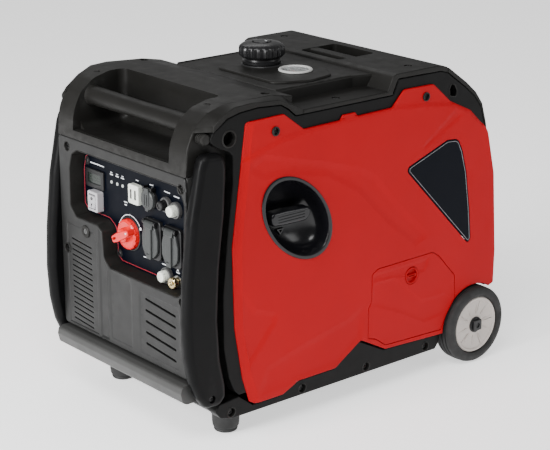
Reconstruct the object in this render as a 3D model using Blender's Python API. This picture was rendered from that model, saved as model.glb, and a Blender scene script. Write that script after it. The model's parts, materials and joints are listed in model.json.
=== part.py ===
"""Inverter generator with a fold-down pull handle, two wheels and a recoil starter.

Frame: -X is the control-panel end, +X the wheel end, -Y the side with the recoil
starter, +Z up, origin on the floor under the middle of the machine.
Lengths below are millimetres; every mesh is written in metres.
"""
import math

import bmesh
import bpy
from mathutils import Matrix, Vector

MM = 0.001
GAP = 0.4                      # clearance between neighbouring pieces

# Driving dimensions
HALF_WIDTH = 172.0             # outer face of the coloured side panels
PANEL_THICK = 4.6
FRAME_OUT = HALF_WIDTH - PANEL_THICK - GAP     # outer face of the black side frames
FRAME_IN = 151.5               # inner face of the side frames
BODY_IN = FRAME_IN - GAP       # half width of the pieces between the side frames
FASCIA_X = -289.0              # front face of the fascia
PLATE_X = -268.0               # front face of the control plate
DECK_Z = 474.0
LEDGE_Z = 457.0
SEAM_Z = 451.0                 # joint between the top cover and the side frames
HOUSING_Z = 392.0              # joint between the front housing and the fascia
WALL = 3.5

WHEEL = (247.0, 61.0)          # x, z of the axle
WHEEL_R = 60.5
ARCH_R = 64.0
WHEEL_IN, WHEEL_OUT = 148.0, 183.0
HUB_R = 42.0
AXLE_R = 7.0

HANDLE_PIVOT = (-259.0, 404.0)
ARM_IN, ARM_OUT = 151.5, 173.5
BAR = (-252.0, 450.0, 13.0)    # grip bar: x, z, radius

BOWL = (-116.0, 309.0)         # recoil bowl centre
BOWL_R = 62.0
BOWL_BACK = -131.0
CRANK = (10.0, 190.0)
REEL_R = 45.0

CAP = (-17.0, 19.0)            # fuel cap centre
CAP_R = 34.0
GAUGE = (-8.0, -46.0)

# Control elements on the plate: y, z
DISPLAY = (88.0, 334.0)
ECO = (83.0, 303.0)
USB = (-13.0, 335.0)
DC_SOCKET = (-46.0, 335.0)
DC_BREAKER = (-82.0, 336.0)
BREAKERS = {"ac_breaker_1": (-104.0, 333.0), "ac_breaker_2": (-81.0, 234.0)}
SOCKETS = {"1": (-51.0, 279.0), "2": (-97.0, 279.0)}
DIAL = (6.0, 272.0)
GROUND = (-103.0, 230.0)

LATCH = (113.0, 170.0)         # service cover knob
DIPSTICK = (100.0, 112.0)
PANEL_SCREWS = [(-151.0, 436.0), (134.0, 439.0)]
BASE_SCREWS = [-228.0, -98.0, 27.0, 150.0]



def arc(centre, radius, first, last, steps):
    """Points along a circular arc, angles in degrees."""
    angles = [math.radians(first + (last - first) * k / steps) for k in range(steps + 1)]
    return [(centre[0] + radius * math.cos(a), centre[1] + radius * math.sin(a)) for a in angles]


RED_OUTLINE = [
    (-201, 454), (-213, 370), (-225, 285), (-222, 169), (-209, 92), (-197, 54), (-188, 49),
    (-138, 49), (-108, 62), (-38, 62), (12, 93), (62, 66), *arc(WHEEL, ARCH_R, 181, 57, 8), (292, 118),
    (293, 171), (284, 297), (267, 368), (229, 404), (186, 424),
    (150, 455), (91, 456), (68, 433), (1, 432), (-4, 438), (-27, 438), (-32, 431), (-99, 430),
    (-135, 457), (-196, 456)]
FRAME_OUTLINE = [
    (-214, 68), (-222, 76), (-232, 99), (-240, 143), (-240, 220), (-232, 300), (-222, 375),
    (-222, 414), (-228, 420), (-237, 424), (-246, 428), (-253, 432), (-258, 437), (-259, 443),
    (-255, 449), (-230, 465), (-209, 470), (-178, 472), (-138, 469), (-125, 461), (-112, 450),
    (72, 450), (82, 472), (167, 471), (181, 467), (219, 440), (240, 423), (254, 405),
    (263, 377), (280, 297), (288, 200), (289, 128), *arc(WHEEL, ARCH_R + 3, 60, 174, 8), (62, 68), (12, 95), (-38, 68), (-108, 68), (-138, 68)]
FRAME_OPENING = [(-196, 100), (-206, 280), (-192, 400), (-120, 405), (-90, 412), (60, 412),
                 (200, 392), (240, 360), (262, 240), (262, 150), (205, 132), (160, 95),
                 (60, 90), (12, 108), (-38, 88)]
BADGE_OUTLINE = [(97, 336), (103, 346), (180, 365), (196, 364), (208, 352), (220, 318),
                 (231, 252), (236, 203), (231, 198)]
SERVICE_OUTLINE = [(26, 92), (26, 139), (32, 149), (32, 190), (44, 196), (155, 197), (168, 189),
                   (204, 150), (206, 111), (190, 90), (178, 68), (62, 73), (40, 88)]
PLATE_OUTLINE = [(103, 373), (115, 366), (121, 346), (122, 290), (110, 279), (57, 279), (44, 271),
                 (41, 231), (29, 222), (-128, 222), (-138, 231), (-144, 352), (-135, 373)]


# ---------------------------------------------------------------- helpers

def clear_scene():
    for obj in list(bpy.data.objects):
        bpy.data.objects.remove(obj, do_unlink=True)


def material(name, colour, roughness, metallic=0.0):
    mat = bpy.data.materials.new(name)
    mat.use_nodes = True
    shader = mat.node_tree.nodes["Principled BSDF"]
    shader.inputs["Base Color"].default_value = (*colour, 1.0)
    shader.inputs["Roughness"].default_value = roughness
    shader.inputs["Metallic"].default_value = metallic
    return mat


def place(point, axis):
    """Turn (u, v, t) into x, y, z for a shape drawn in a plane across an axis."""
    u, v, t = point
    return {"X": (t, u, v), "Y": (u, t, v), "Z": (u, v, t)}[axis]


def new_object(name, bm, mat=None, smooth=False):
    """Write a bmesh in millimetres as an object in metres with outward faces."""
    bmesh.ops.recalc_face_normals(bm, faces=bm.faces)
    mesh = bpy.data.meshes.new(name)
    bmesh.ops.scale(bm, vec=(MM, MM, MM), verts=bm.verts)
    bm.to_mesh(mesh)
    bm.free()
    if smooth:
        mesh.shade_smooth()
        mesh.set_sharp_from_angle(angle=math.radians(35))
    obj = bpy.data.objects.new(name, mesh)
    bpy.context.scene.collection.objects.link(obj)
    if mat:
        mesh.materials.append(mat)
    return obj


def add_prism(bm, outline, axis, low, high, shrink=None):
    """Extrude an outline along an axis. shrink=(depth, factor points) chamfers the high end."""
    bottom = [bm.verts.new(place((u, v, low), axis)) for u, v in outline]
    top = [bm.verts.new(place((u, v, high), axis)) for u, v in (shrink or outline)]
    count = len(outline)
    bm.faces.new(bottom[::-1])
    bm.faces.new(top)
    for i in range(count):
        j = (i + 1) % count
        bm.faces.new((bottom[i], bottom[j], top[j], top[i]))


def add_box(bm, low, high):
    x0, y0, z0 = low
    x1, y1, z1 = high
    add_prism(bm, [(x0, y0), (x1, y0), (x1, y1), (x0, y1)], "Z", z0, z1)


def circle(cu, cv, radius, count=24, start=0.0):
    return [(cu + radius * math.cos(start + math.tau * i / count),
             cv + radius * math.sin(start + math.tau * i / count)) for i in range(count)]


def add_lathe(bm, profile, axis, centre, count=24):
    """Turn a closed (radius, height) profile round an axis through centre=(u, v)."""
    rings = []
    for radius, height in profile:
        if radius < 1e-6:
            rings.append([bm.verts.new(place((*centre, height), axis))])
        else:
            rings.append([bm.verts.new(place((u, v, height), axis))
                          for u, v in circle(*centre, radius, count)])
    closed = profile[0][0] > 1e-6 or profile[-1][0] > 1e-6
    pairs = len(rings) if closed else len(rings) - 1
    for k in range(pairs):
        a, b = rings[k], rings[(k + 1) % len(rings)]
        for i in range(count):
            j = (i + 1) % count
            if len(a) == 1 and len(b) == 1:
                continue
            if len(a) == 1:
                bm.faces.new((a[0], b[j], b[i]))
            elif len(b) == 1:
                bm.faces.new((a[i], a[j], b[0]))
            else:
                bm.faces.new((a[i], a[j], b[j], b[i]))


def inset(outline, distance):
    """Move each edge of a closed outline inwards by a distance, with mitred corners."""
    area = sum(a[0] * b[1] - b[0] * a[1] for a, b in zip(outline, outline[1:] + outline[:1]))
    side = 1.0 if area > 0 else -1.0
    result = []
    for i, point in enumerate(outline):
        here = Vector(point)
        before = (here - Vector(outline[i - 1])).normalized()
        after = (Vector(outline[(i + 1) % len(outline)]) - here).normalized()
        n1 = Vector((-before.y, before.x)) * side
        n2 = Vector((-after.y, after.x)) * side
        bisector = n1 + n2
        result.append(tuple(here + bisector * (distance / max(0.35, 1.0 + n1.dot(n2)))))
    return result


def mirrored(outline):
    return [(-u, v) for u, v in outline]


def prism(name, outline, axis, low, high, mat=None, bevel=0.0):
    """An extruded outline; bevel chamfers the edge of its high (outer) face."""
    bm = bmesh.new()
    add_prism(bm, outline, axis, low, high)
    if bevel:
        bm.free()
        bm = bmesh.new()
        outer = high - math.copysign(bevel, high - low)
        small = inset(outline, bevel)
        rings = [[bm.verts.new(place((u, v, t), axis)) for u, v in pts]
                 for pts, t in ((outline, low), (outline, outer), (small, high))]
        bm.faces.new(rings[0][::-1])
        bm.faces.new(rings[-1])
        for a, b in zip(rings, rings[1:]):
            for i in range(len(outline)):
                j = (i + 1) % len(outline)
                bm.faces.new((a[i], a[j], b[j], b[i]))
    return new_object(name, bm, mat)


def box(name, low, high, mat=None):
    bm = bmesh.new()
    add_box(bm, low, high)
    return new_object(name, bm, mat)


def chamfered(low_u, low_v, high_u, high_v, c):
    """A rectangle with its corners cut off by c."""
    return [(low_u + c, low_v), (high_u - c, low_v), (high_u, low_v + c), (high_u, high_v - c),
            (high_u - c, high_v), (low_u + c, high_v), (low_u, high_v - c), (low_u, low_v + c)]


def cylinder(name, axis, centre, radius, low, high, mat=None, count=24):
    bm = bmesh.new()
    add_prism(bm, circle(*centre, radius, count), axis, low, high)
    return new_object(name, bm, mat, smooth=True)


def lathe(name, profile, axis, centre, mat=None, count=24):
    bm = bmesh.new()
    add_lathe(bm, profile, axis, centre, count)
    return new_object(name, bm, mat, smooth=True)


def boolean(obj, tool, operation):
    modifier = obj.modifiers.new(operation.title(), "BOOLEAN")
    modifier.operation = operation
    modifier.solver = "EXACT"
    modifier.object = tool
    tool.hide_render = True
    tool.display_type = "WIRE"


def cut(obj, *tools):
    for tool in tools:
        boolean(obj, tool, "DIFFERENCE")


def fuse(obj, *tools):
    for tool in tools:
        boolean(obj, tool, "UNION")


def set_axis(obj, point):
    """Move an object's origin onto its joint axis, in millimetres, without moving its mesh."""
    offset = Vector(point) * MM
    obj.data.transform(Matrix.Translation(-offset))
    obj.location = offset


# ---------------------------------------------------------------- materials

BLACK = material("black_plastic", (0.032, 0.032, 0.030), 0.48)
DARK = material("dark_plastic", (0.018, 0.018, 0.018), 0.55)
GREY = material("grey_plastic", (0.085, 0.085, 0.085), 0.45)
RED = material("red_plastic", (0.52, 0.012, 0.018), 0.38)
NAVY = material("navy_plate", (0.006, 0.010, 0.024), 0.35)
RUBBER = material("rubber", (0.020, 0.020, 0.020), 0.80)
SILVER = material("silver_plastic", (0.55, 0.51, 0.46), 0.35, 0.2)
WHITE = material("white_plastic", (0.72, 0.75, 0.70), 0.35)
DIAL_RED = material("dial_red", (0.70, 0.02, 0.02), 0.30)
FLAP = material("flap_grey", (0.14, 0.145, 0.145), 0.42)
STEEL = material("steel", (0.45, 0.45, 0.45), 0.35, 1.0)
BRASS = material("brass", (0.60, 0.45, 0.20), 0.30, 1.0)
ALLOY = material("cast_alloy", (0.40, 0.40, 0.41), 0.50, 1.0)
CLEAR = material("clear_lens", (0.70, 0.72, 0.70), 0.10)
CORD = material("cord", (0.10, 0.10, 0.10), 0.85)


# ---------------------------------------------------------------- base and wheels

def make_base():
    floor = box("base_frame", (-236, -150, 36), (176, 150, 44), BLACK)
    fuse(floor, box("base_tail", (170, -126, 36), (214, 126, 44)))
    side = [(-250, 63), (-256, 53), (-245, 42), (-226, 36), (172, 36), (180, 46), (179, 59),
            (62, 64), (12, 90), (-38, 60), (-108, 60), (-138, 47), (-190, 47), (-214, 66)]
    for sign, name in ((-1, "right"), (1, "left")):
        wall = prism(f"base_wall_{name}", side, "Y", sign * 149, sign * 167)
        fuse(floor, wall)
        for x in BASE_SCREWS:
            hole = cylinder(f"base_hole_{name}", "Y", (x, 46), 4.5, sign * 160, sign * 175, count=12)
            cut(floor, hole)
    front = prism("base_front", [(-256, 53), (-236, 36), (-230, 36), (-230, 62), (-250, 62)], "Y",
                  -149.5, 149.5)
    rear = prism("base_rear", [(206, 43), (214, 36), (266, 48), (266, 84), (254, 84), (228, 84),
                               (206, 60)], "Y", -126, 126)
    bore = cylinder("axle_bore", "Y", WHEEL, AXLE_R + GAP, -140, 140)
    fuse(floor, front, rear)
    cut(floor, bore)


def make_feet():
    for y, name in ((-125, "right"), (125, "left")):
        lathe(f"foot_{name}", [(0, 0), (17, 0), (20, 3), (20, 35.6), (0, 35.6)], "Z", (-205, y),
              RUBBER, 20)


def make_wheels():
    x, z = WHEEL
    axle = cylinder("axle", "Y", WHEEL, AXLE_R, -178, 178, STEEL)
    for sign, name in ((-1, "right"), (1, "left")):
        cap = prism(f"axle_cap_{name}", [(x - 8, z - 8), (x + 8, z - 8), (x + 8, z + 8),
                                         (x - 8, z + 8)], "Y", sign * 177, sign * 185)
        fuse(axle, cap)
        inner, outer = sign * WHEEL_IN, sign * WHEEL_OUT
        step = sign * 4.0
        tyre = lathe(f"tyre_{name}", [
            (HUB_R + 3, inner), (WHEEL_R - 5, inner), (WHEEL_R, inner + step),
            (WHEEL_R, outer - step), (WHEEL_R - 5, outer), (HUB_R + 3, outer)],
            "Y", WHEEL, RUBBER, 36)
        hub = lathe(f"hub_{name}", [
            (AXLE_R + GAP, inner + step), (HUB_R + 2.5, inner + step), (HUB_R + 2.5, outer - step),
            (HUB_R - 3, outer - step * 1.6), (AXLE_R + 8, outer - step * 2.0),
            (AXLE_R + GAP, outer - step * 2.0)], "Y", WHEEL, SILVER, 36)
        set_axis(tyre, (x, 0, z))
        set_axis(hub, (x, 0, z))


# ---------------------------------------------------------------- shells

def make_side(sign, name):
    """One black side frame and the coloured panel on it, with its screw holes and recesses."""
    inner, outer = sign * FRAME_IN, sign * FRAME_OUT
    frame = prism(f"side_frame_{name}", FRAME_OUTLINE, "Y", inner, outer, BLACK)
    opening = prism(f"frame_opening_{name}", FRAME_OPENING, "Y", inner - sign * 5, outer + sign * 5)
    hole = cylinder(f"frame_hole_{name}", "Y", (-228, 438), 10.5, inner - sign, outer + sign)
    slot = prism(f"frame_slot_{name}", [(227, 429), (238, 426), (240, 433), (232, 444), (223, 446)],
                 "Y", inner - sign, outer + sign)
    cut(frame, opening, hole, slot)

    panel = prism(f"side_panel_{name}", RED_OUTLINE, "Y", outer + sign * GAP,
                  sign * HALF_WIDTH, RED, bevel=3.0)
    for x, z in PANEL_SCREWS:
        cut(panel, cylinder(f"panel_hole_{name}", "Y", (x, z), 5.0, sign * 160, sign * 180, count=16))
    cut(panel, prism(f"inlay_seat_{name}", inset(BADGE_OUTLINE, -0.4), "Y",
                     sign * (HALF_WIDTH - 1.6), sign * (HALF_WIDTH + 5)))
    if sign < 0:
        cut(panel, cylinder("bowl_hole", "Y", BOWL, BOWL_R + GAP, -160, -180, count=40),
            prism("service_hole", inset(SERVICE_OUTLINE, -0.6), "Y", -160, -180))


def make_inlays():
    """The dark plates set into both side panels."""
    for sign, name in ((-1, "right"), (1, "left")):
        prism(f"side_inlay_{name}", BADGE_OUTLINE, "Y", sign * (HALF_WIDTH - 1.2),
              sign * (HALF_WIDTH + 0.6), NAVY)


def make_service_cover():
    """The quarter-turn cover over the dipstick, and its knob."""
    cover = prism("service_cover", SERVICE_OUTLINE, "Y", -HALF_WIDTH + PANEL_THICK, -HALF_WIDTH, RED,
                  bevel=1.2)
    cut(cover, cylinder("latch_hole", "Y", LATCH, 13.5, -150, -190))
    latch = lathe("service_latch", [(0, -HALF_WIDTH + 0.6), (12.8, -HALF_WIDTH + 0.6),
                                    (12.8, -158), (5, -158), (5, -152), (0, -152)], "Y", LATCH, RED)
    cut(latch, prism("latch_slot", [(LATCH[0] - 9, LATCH[1] - 2), (LATCH[0] + 9, LATCH[1] - 2),
                                    (LATCH[0] + 9, LATCH[1] + 2), (LATCH[0] - 9, LATCH[1] + 2)],
                     "Y", -169, -180))
    set_axis(latch, (LATCH[0], 0, LATCH[1]))


def make_top_cover():
    ledge = box("top_cover", (-98, -FRAME_OUT, SEAM_Z), (72, FRAME_OUT, LEDGE_Z), BLACK)
    deck = prism("deck", [(-103, LEDGE_Z - 1), (-103, DECK_Z), (76, DECK_Z), (76, SEAM_Z),
                          (-97, SEAM_Z)], "Y", -115, 115)
    rear = prism("rear_member", [(66, SEAM_Z), (70, 477), (77, 480), (167, 480), (180, 475),
                                 (180, 468.5), (167, 473), (80.5, 474), (70.5, 452)], "Y",
                 -FRAME_OUT, FRAME_OUT)
    middle = box("rear_middle", (76, -BODY_IN, SEAM_Z), (180, BODY_IN, 472))
    fuse(ledge, deck, rear, middle)
    pad = prism("cap_pad", [(-80, 48), (-80, -80), (-66, -90), (-30, -104), (14, -96), (34, -64),
                            (34, 48), (24, 58), (-70, 58)], "Z", DECK_Z - 2, DECK_Z + 3)
    fuse(ledge, pad)
    under = [box("deck_under", (-93, -111, SEAM_Z - 5), (66, 111, DECK_Z - 4)),
             box("rear_under", (82, -BODY_IN + 4, SEAM_Z - 5), (176, BODY_IN - 4, 468)),
             box("finger_slot", (78, -45, 468 - 9), (150, 45, 490)),
             cylinder("neck_hole", "Z", CAP, 28, 440, 490),
             cylinder("gauge_hole", "Z", GAUGE, 22.4, 440, 490)]
    cut(ledge, *under)
    bridge = box("rear_bridge", (96, -46, 473), (118, 46, 479.6))
    fuse(ledge, bridge)


def make_front_housing():
    """Top front moulding with the carrying pocket; its shoulders cap the side frames."""
    outline = [(FASCIA_X, HOUSING_Z), (-286, 430), (-274, 456), (-254, 472), (-230, 480),
               (-140, 481), (-104, DECK_Z), (-104, 445), (-104, HOUSING_Z)]
    housing = prism("front_housing", outline, "Y", -BODY_IN, BODY_IN, BLACK)
    shoulder = [(-254.5, 450.5), (-254, 458), (-239, 470), (-219, 479), (-191, 480.5),
                (-140, 477), (-123, 469), (-99, 458), (-99, 451), (-111, 451), (-124.3, 462.2),
                (-137.5, 470), (-178, 473), (-209, 471), (-231, 466)]
    for sign, name in ((-1, "right"), (1, "left")):
        fuse(housing, prism(f"shoulder_{name}", shoulder, "Y", sign * 150, sign * FRAME_OUT))
        cavity = [(-280, HOUSING_Z - 5), (-280, 430), (-250, 462), (-225, 474), (-112, 472),
                  (-112, HOUSING_Z - 5)]
        cut(housing, prism(f"cavity_{name}", cavity, "Y", sign * 118, sign * 146),
            cylinder(f"pin_bore_{name}", "Y", HANDLE_PIVOT, 6.4, sign * 140, sign * 155))
        fuse(housing, cylinder(f"handle_stop_{name}", "Y", (-270, 443), 8.5, sign * 150,
                               sign * 163))
    pocket = prism("pocket", [(-300, 404), (-198, 404), (-198, 500), (-300, 500)], "Y", -113, 113)
    behind = prism("behind_pocket", [(-194, HOUSING_Z - 5), (-194, 476), (-112, 470),
                                     (-112, HOUSING_Z - 5)], "Y", -114, 114)
    below = box("below_pocket", (-283, -114, HOUSING_Z - 5), (-190, 114, 400))
    cut(housing, pocket, behind, below)
    grip = cylinder("grip_bar", "Y", BAR[:2], BAR[2], -112.6, 112.6, BLACK, 28)
    return grip


def make_fascia():
    """Front panel: a 4 mm face, the walls of the recess and the louvre slits."""
    face = prism("front_fascia", [(-BODY_IN + 1, 104), (BODY_IN - 1, 104),
                                  (BODY_IN - 1, HOUSING_Z - GAP), (-BODY_IN + 1, HOUSING_Z - GAP)],
                 "X", FASCIA_X + 4, FASCIA_X, GREY)
    tube = prism("recess_tube", inset(PLATE_OUTLINE, -3.0), "X", FASCIA_X + 1, PLATE_X + 6)
    flanges = [box("fascia_flange_top", (FASCIA_X + 1, -BODY_IN + 1, HOUSING_Z - 4),
                   (FASCIA_X + 26, BODY_IN - 1, HOUSING_Z - GAP)),
               box("fascia_flange_bottom", (FASCIA_X + 1, -BODY_IN + 1, 104),
                   (FASCIA_X + 26, BODY_IN - 1, 108))]
    for sign, name in ((-1, "right"), (1, "left")):
        low, high = sorted((sign * (BODY_IN - 4), sign * (BODY_IN - 1)))
        flanges.append(box(f"fascia_flange_{name}", (FASCIA_X + 1, low, 104.2),
                           (FASCIA_X + 84, high, HOUSING_Z - 0.8)))
    fuse(face, tube, *flanges)
    cut(face, prism("recess", PLATE_OUTLINE, "X", FASCIA_X - 10, PLATE_X + 20))
    for k in range(6):
        z = 122 + 14.5 * k
        cut(face, box("slit_left", (FASCIA_X - 5, 76, z), (FASCIA_X + 10, 126, z + 4.5)))
        cut(face, box("slit_right", (FASCIA_X - 5, -124, z), (FASCIA_X + 10, -50, z + 4.5)))
    for y, z in ((129, 380), (-140, 380)):
        cut(face, cylinder("fascia_hole", "X", (y, z), 4.5, FASCIA_X - 5, FASCIA_X + 2, count=16))


def make_rear_cover():
    outer = [(180.6, 467), (219, 441), (240, 424), (255, 405), (264, 377), (281, 297), (289, 200),
             (289, 132), (262, 132), (248, 128)]
    inner = [(250, 134), (284, 138), (284, 200), (276, 296), (259, 375), (250, 402), (236, 420),
             (216, 436), (180.6, 460)]
    cover = prism("rear_cover", outer + inner, "Y", -BODY_IN, BODY_IN, BLACK)
    cut(cover, cylinder("exhaust_hole", "X", (60, 215), 24, 240, 320))
    for k in range(6):
        z = 170 + 24 * k
        cut(cover, box("rear_slit", (240, -110, z), (320, 10, z + 8)))


# ---------------------------------------------------------------- handle

def arm_outline():
    """Side outline of a handle arm: round top about the pivot, bowed front, round foot."""
    px, pz = HANDLE_PIVOT
    top = [(px + 20 * math.cos(a), pz + 20 * math.sin(a))
           for a in [math.radians(180 - 20 * k) for k in range(10)]]
    back = [(-247, 339), (-257, 260), (-260, 190), (-257, 130), (-248, 95), (-245, 75)]
    foot = [(-251, 66), (-262, 63), (-274, 66)]
    front = [(-284, 78), (-296, 103), (-304, 140), (-307.5, 190), (-305, 250), (-296, 330)]
    return top + back + foot + front


def make_handle():
    px, pz = HANDLE_PIVOT
    arms = []
    for sign, name in ((-1, "right"), (1, "left")):
        arm = prism(f"handle_arm_{name}", arm_outline(), "Y", sign * ARM_IN, sign * ARM_OUT, BLACK,
                    bevel=3.0)
        fuse(arm, cylinder(f"pivot_pin_{name}", "Y", HANDLE_PIVOT, 6.0, sign * 143, sign * 154))
        cut(arm, cylinder(f"arm_screw_{name}", "Y", (-266, 78), 5.0, sign * 168, sign * 180, count=16))
        arms.append(arm)
    crossbar = prism("handle_crossbar", [(-300, 78), (-302, 96), (-296, 98), (-270, 98), (-262, 92),
                                         (-262, 76), (-270, 71), (-293, 71)], "Y",
                     -ARM_IN + GAP, ARM_IN - GAP, GREY)
    for obj in arms + [crossbar]:
        set_axis(obj, (px, 0, pz))


# ---------------------------------------------------------------- control panel

def make_plate():
    plate = prism("control_plate", inset(PLATE_OUTLINE, 0.5), "X", PLATE_X, PLATE_X + 3, NAVY)
    front, back = PLATE_X - 10, PLATE_X + 20
    holes = [(DC_SOCKET, 12.0), (DC_BREAKER, 8.0), (BREAKERS["ac_breaker_1"], 9.0),
             (BREAKERS["ac_breaker_2"], 9.0), (DIAL, 7.0), (GROUND, 4.0)]
    for centre, radius in holes:
        cut(plate, cylinder("plate_hole", "X", centre, radius, front, back, count=20))
    for centre, half_y, half_z in ((DISPLAY, 21, 13), (ECO, 11, 14), (USB, 11, 13),
                                   (SOCKETS["1"], 19, 28), (SOCKETS["2"], 19, 28)):
        y, z = centre
        cut(plate, box("plate_window", (front, y - half_y, z - half_z),
                       (back, y + half_y, z + half_z)))


def panel_block(name, centre, half_y, half_z, proud, deep, mat):
    """A rectangular panel fitting: a flange in front of the plate and a body through it."""
    y, z = centre
    face = PLATE_X - proud
    body = box(name, (face, y - half_y - 1.5, z - half_z - 1.5),
               (PLATE_X - 0.3, y + half_y + 1.5, z + half_z + 1.5), mat)
    rear = box(f"{name}_body", (PLATE_X - 1, y - half_y + 0.6, z - half_z + 0.6),
               (PLATE_X + deep, y + half_y - 0.6, z + half_z - 0.6))
    fuse(body, rear)
    return body


def make_fittings():
    display = panel_block("display_module", DISPLAY, 20.5, 12.5, 3, 14, DARK)
    cut(display, box("screen_recess", (PLATE_X - 6, 73, 328), (PLATE_X - 1.8, 103, 340)))
    y, z = ECO
    eco = panel_block("eco_switch_housing", ECO, 10.5, 13.5, 11, 16, SILVER)
    cut(eco, box("eco_recess", (PLATE_X - 20, y - 8, z - 11), (PLATE_X + 8, y + 8, z + 11)))
    rocker = prism("eco_rocker", [(-282, z - 8.5), (-279.6, z), (-280, z + 8.5), (-262, z + 4),
                                  (-262, z - 4)], "Y", y - 7.5, y + 7.5, SILVER)
    set_axis(rocker, (-272, y, z))

    y, z = USB
    usb = panel_block("usb_socket", USB, 10.5, 12.5, 8, 14, WHITE)
    for dy in (-5, 5):
        cut(usb, box("usb_port", (PLATE_X - 20, y + dy - 2.2, z - 7), (PLATE_X + 6, y + dy + 2.2, z + 7)))

    lathe("dc_socket", [(9.5, PLATE_X - 5), (14, PLATE_X - 5), (14.5, PLATE_X - 0.4),
                        (11.5, PLATE_X - 0.4), (11.5, PLATE_X + 26), (9.5, PLATE_X + 26)],
          "X", DC_SOCKET, DARK)
    y, z = DC_SOCKET
    cap = lathe("dc_socket_cap", [(0, PLATE_X - 10), (12.5, PLATE_X - 10), (14.5, PLATE_X - 8),
                                  (14.5, PLATE_X - 5.4), (8.8, PLATE_X - 5.4), (8.8, PLATE_X - 1),
                                  (0, PLATE_X - 1)], "X", DC_SOCKET, FLAP)
    set_axis(cap, (PLATE_X - 6, y, z + 16))

    for name, centre, radius, mat in (
            ("dc_breaker", DC_BREAKER, 7.0, DARK),
            ("ac_breaker_1", BREAKERS["ac_breaker_1"], 8.0, WHITE),
            ("ac_breaker_2", BREAKERS["ac_breaker_2"], 8.0, WHITE)):
        button = lathe(name, [(0, PLATE_X - 15), (radius - 2, PLATE_X - 15), (radius, PLATE_X - 12),
                              (radius, PLATE_X + 10), (0, PLATE_X + 10)], "X", centre, mat, 20)
        set_axis(button, (PLATE_X, *centre))

    y, z = DIAL
    dial = lathe("engine_dial", [(0, PLATE_X - 9), (19, PLATE_X - 9), (22, PLATE_X - 6),
                                 (22, PLATE_X - 1), (6, PLATE_X - 1), (6, PLATE_X + 16),
                                 (0, PLATE_X + 16)], "X", DIAL, DIAL_RED, 28)
    tilt = math.radians(-26)
    bar = [(y + u * math.cos(tilt) - v * math.sin(tilt), z + u * math.sin(tilt) + v * math.cos(tilt))
           for u, v in ((-21, -5), (21, -5), (21, 5), (-21, 5))]
    fuse(dial, prism("dial_bar", bar, "X", PLATE_X - 8, PLATE_X - 20))
    set_axis(dial, (PLATE_X, y, z))

    for number, centre in SOCKETS.items():
        y, z = centre
        socket = panel_block(f"ac_socket_{number}", centre, 18.5, 27.5, 5, 24, DARK)
        well = cylinder(f"socket_well_{number}", "X", (y, z - 1), 16.0, PLATE_X - 20, PLATE_X + 16)
        hub = cylinder(f"socket_core_{number}", "X", (y, z - 1), 7.0, PLATE_X - 3, PLATE_X + 18)
        cut(socket, well)
        fuse(socket, hub)
        for dy in (-4, 4):
            cut(socket, cylinder("contact_hole", "X", (y + dy, z - 1), 1.8, PLATE_X - 8,
                                 PLATE_X + 10, count=10))
        flap = prism(f"socket_flap_{number}", [(PLATE_X - 5.6, z - 26), (PLATE_X - 5.6, z + 25),
                                               (PLATE_X - 7.2, z + 27.4), (PLATE_X - 10.4, z + 27),
                                               (PLATE_X - 12, z + 22), (PLATE_X - 13, z - 20),
                                               (PLATE_X - 10, z - 26)], "Y", y - 18, y + 18, FLAP)
        set_axis(flap, (PLATE_X - 8.5, y, z + 25))

    lathe("ground_stud", [(0, PLATE_X - 16), (2.6, PLATE_X - 16), (2.6, PLATE_X + 10),
                          (0, PLATE_X + 10)], "X", GROUND, BRASS, 12)
    nut = lathe("ground_nut", [(3.0, PLATE_X - 12), (8, PLATE_X - 12), (8, PLATE_X - 3),
                               (3.0, PLATE_X - 3)], "X", GROUND, BRASS, 12)
    set_axis(nut, (PLATE_X, *GROUND))


# ---------------------------------------------------------------- top fittings and tank

def make_fuel_cap():
    cap = lathe("fuel_cap", [(26, 479.4), (27, 479.4), (27, 486), (30, 489), (CAP_R, 492),
                             (CAP_R, 505), (CAP_R - 3, 509), (14, 510), (14, 506), (0, 506),
                             (0, 500), (26, 500)], "Z", CAP, BLACK, 32)
    set_axis(cap, (*CAP, 0))
    vent = lathe("vent_knob", [(0, 506.4), (13, 506.4), (13, 511), (11, 512), (0, 512)], "Z", CAP,
                 BLACK, 20)
    set_axis(vent, (*CAP, 0))


def make_gauge():
    lathe("gauge_bezel", [(0, 466), (21.8, 466), (21.8, 477.4), (25, 477.4), (25, 480), (17, 480),
                          (17, 475), (0, 475)], "Z", GAUGE, SILVER, 28)
    x, y = GAUGE
    needle = prism("gauge_needle", [(x - 1.2, y - 4), (x + 1.2, y - 4), (x + 0.6, y + 14),
                                    (x - 0.6, y + 14)], "Z", 475.4, 476.6, DIAL_RED)
    set_axis(needle, (x, y, 475))


def make_tank():
    shell = prism("fuel_tank", chamfered(-92, -108, 74, 108, 16), "Z", 388, 448, BLACK)
    neck = cylinder("tank_neck", "Z", CAP, 24, 440, 478.6)
    filler = cylinder("filler", "Z", CAP, 21, 400, 500)
    hollow = prism("tank_hollow", chamfered(-88, -104, 70, 104, 15), "Z", 392, 444)
    fuse(shell, neck)
    cut(shell, hollow, filler)


# ---------------------------------------------------------------- recoil starter and engine

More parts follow.
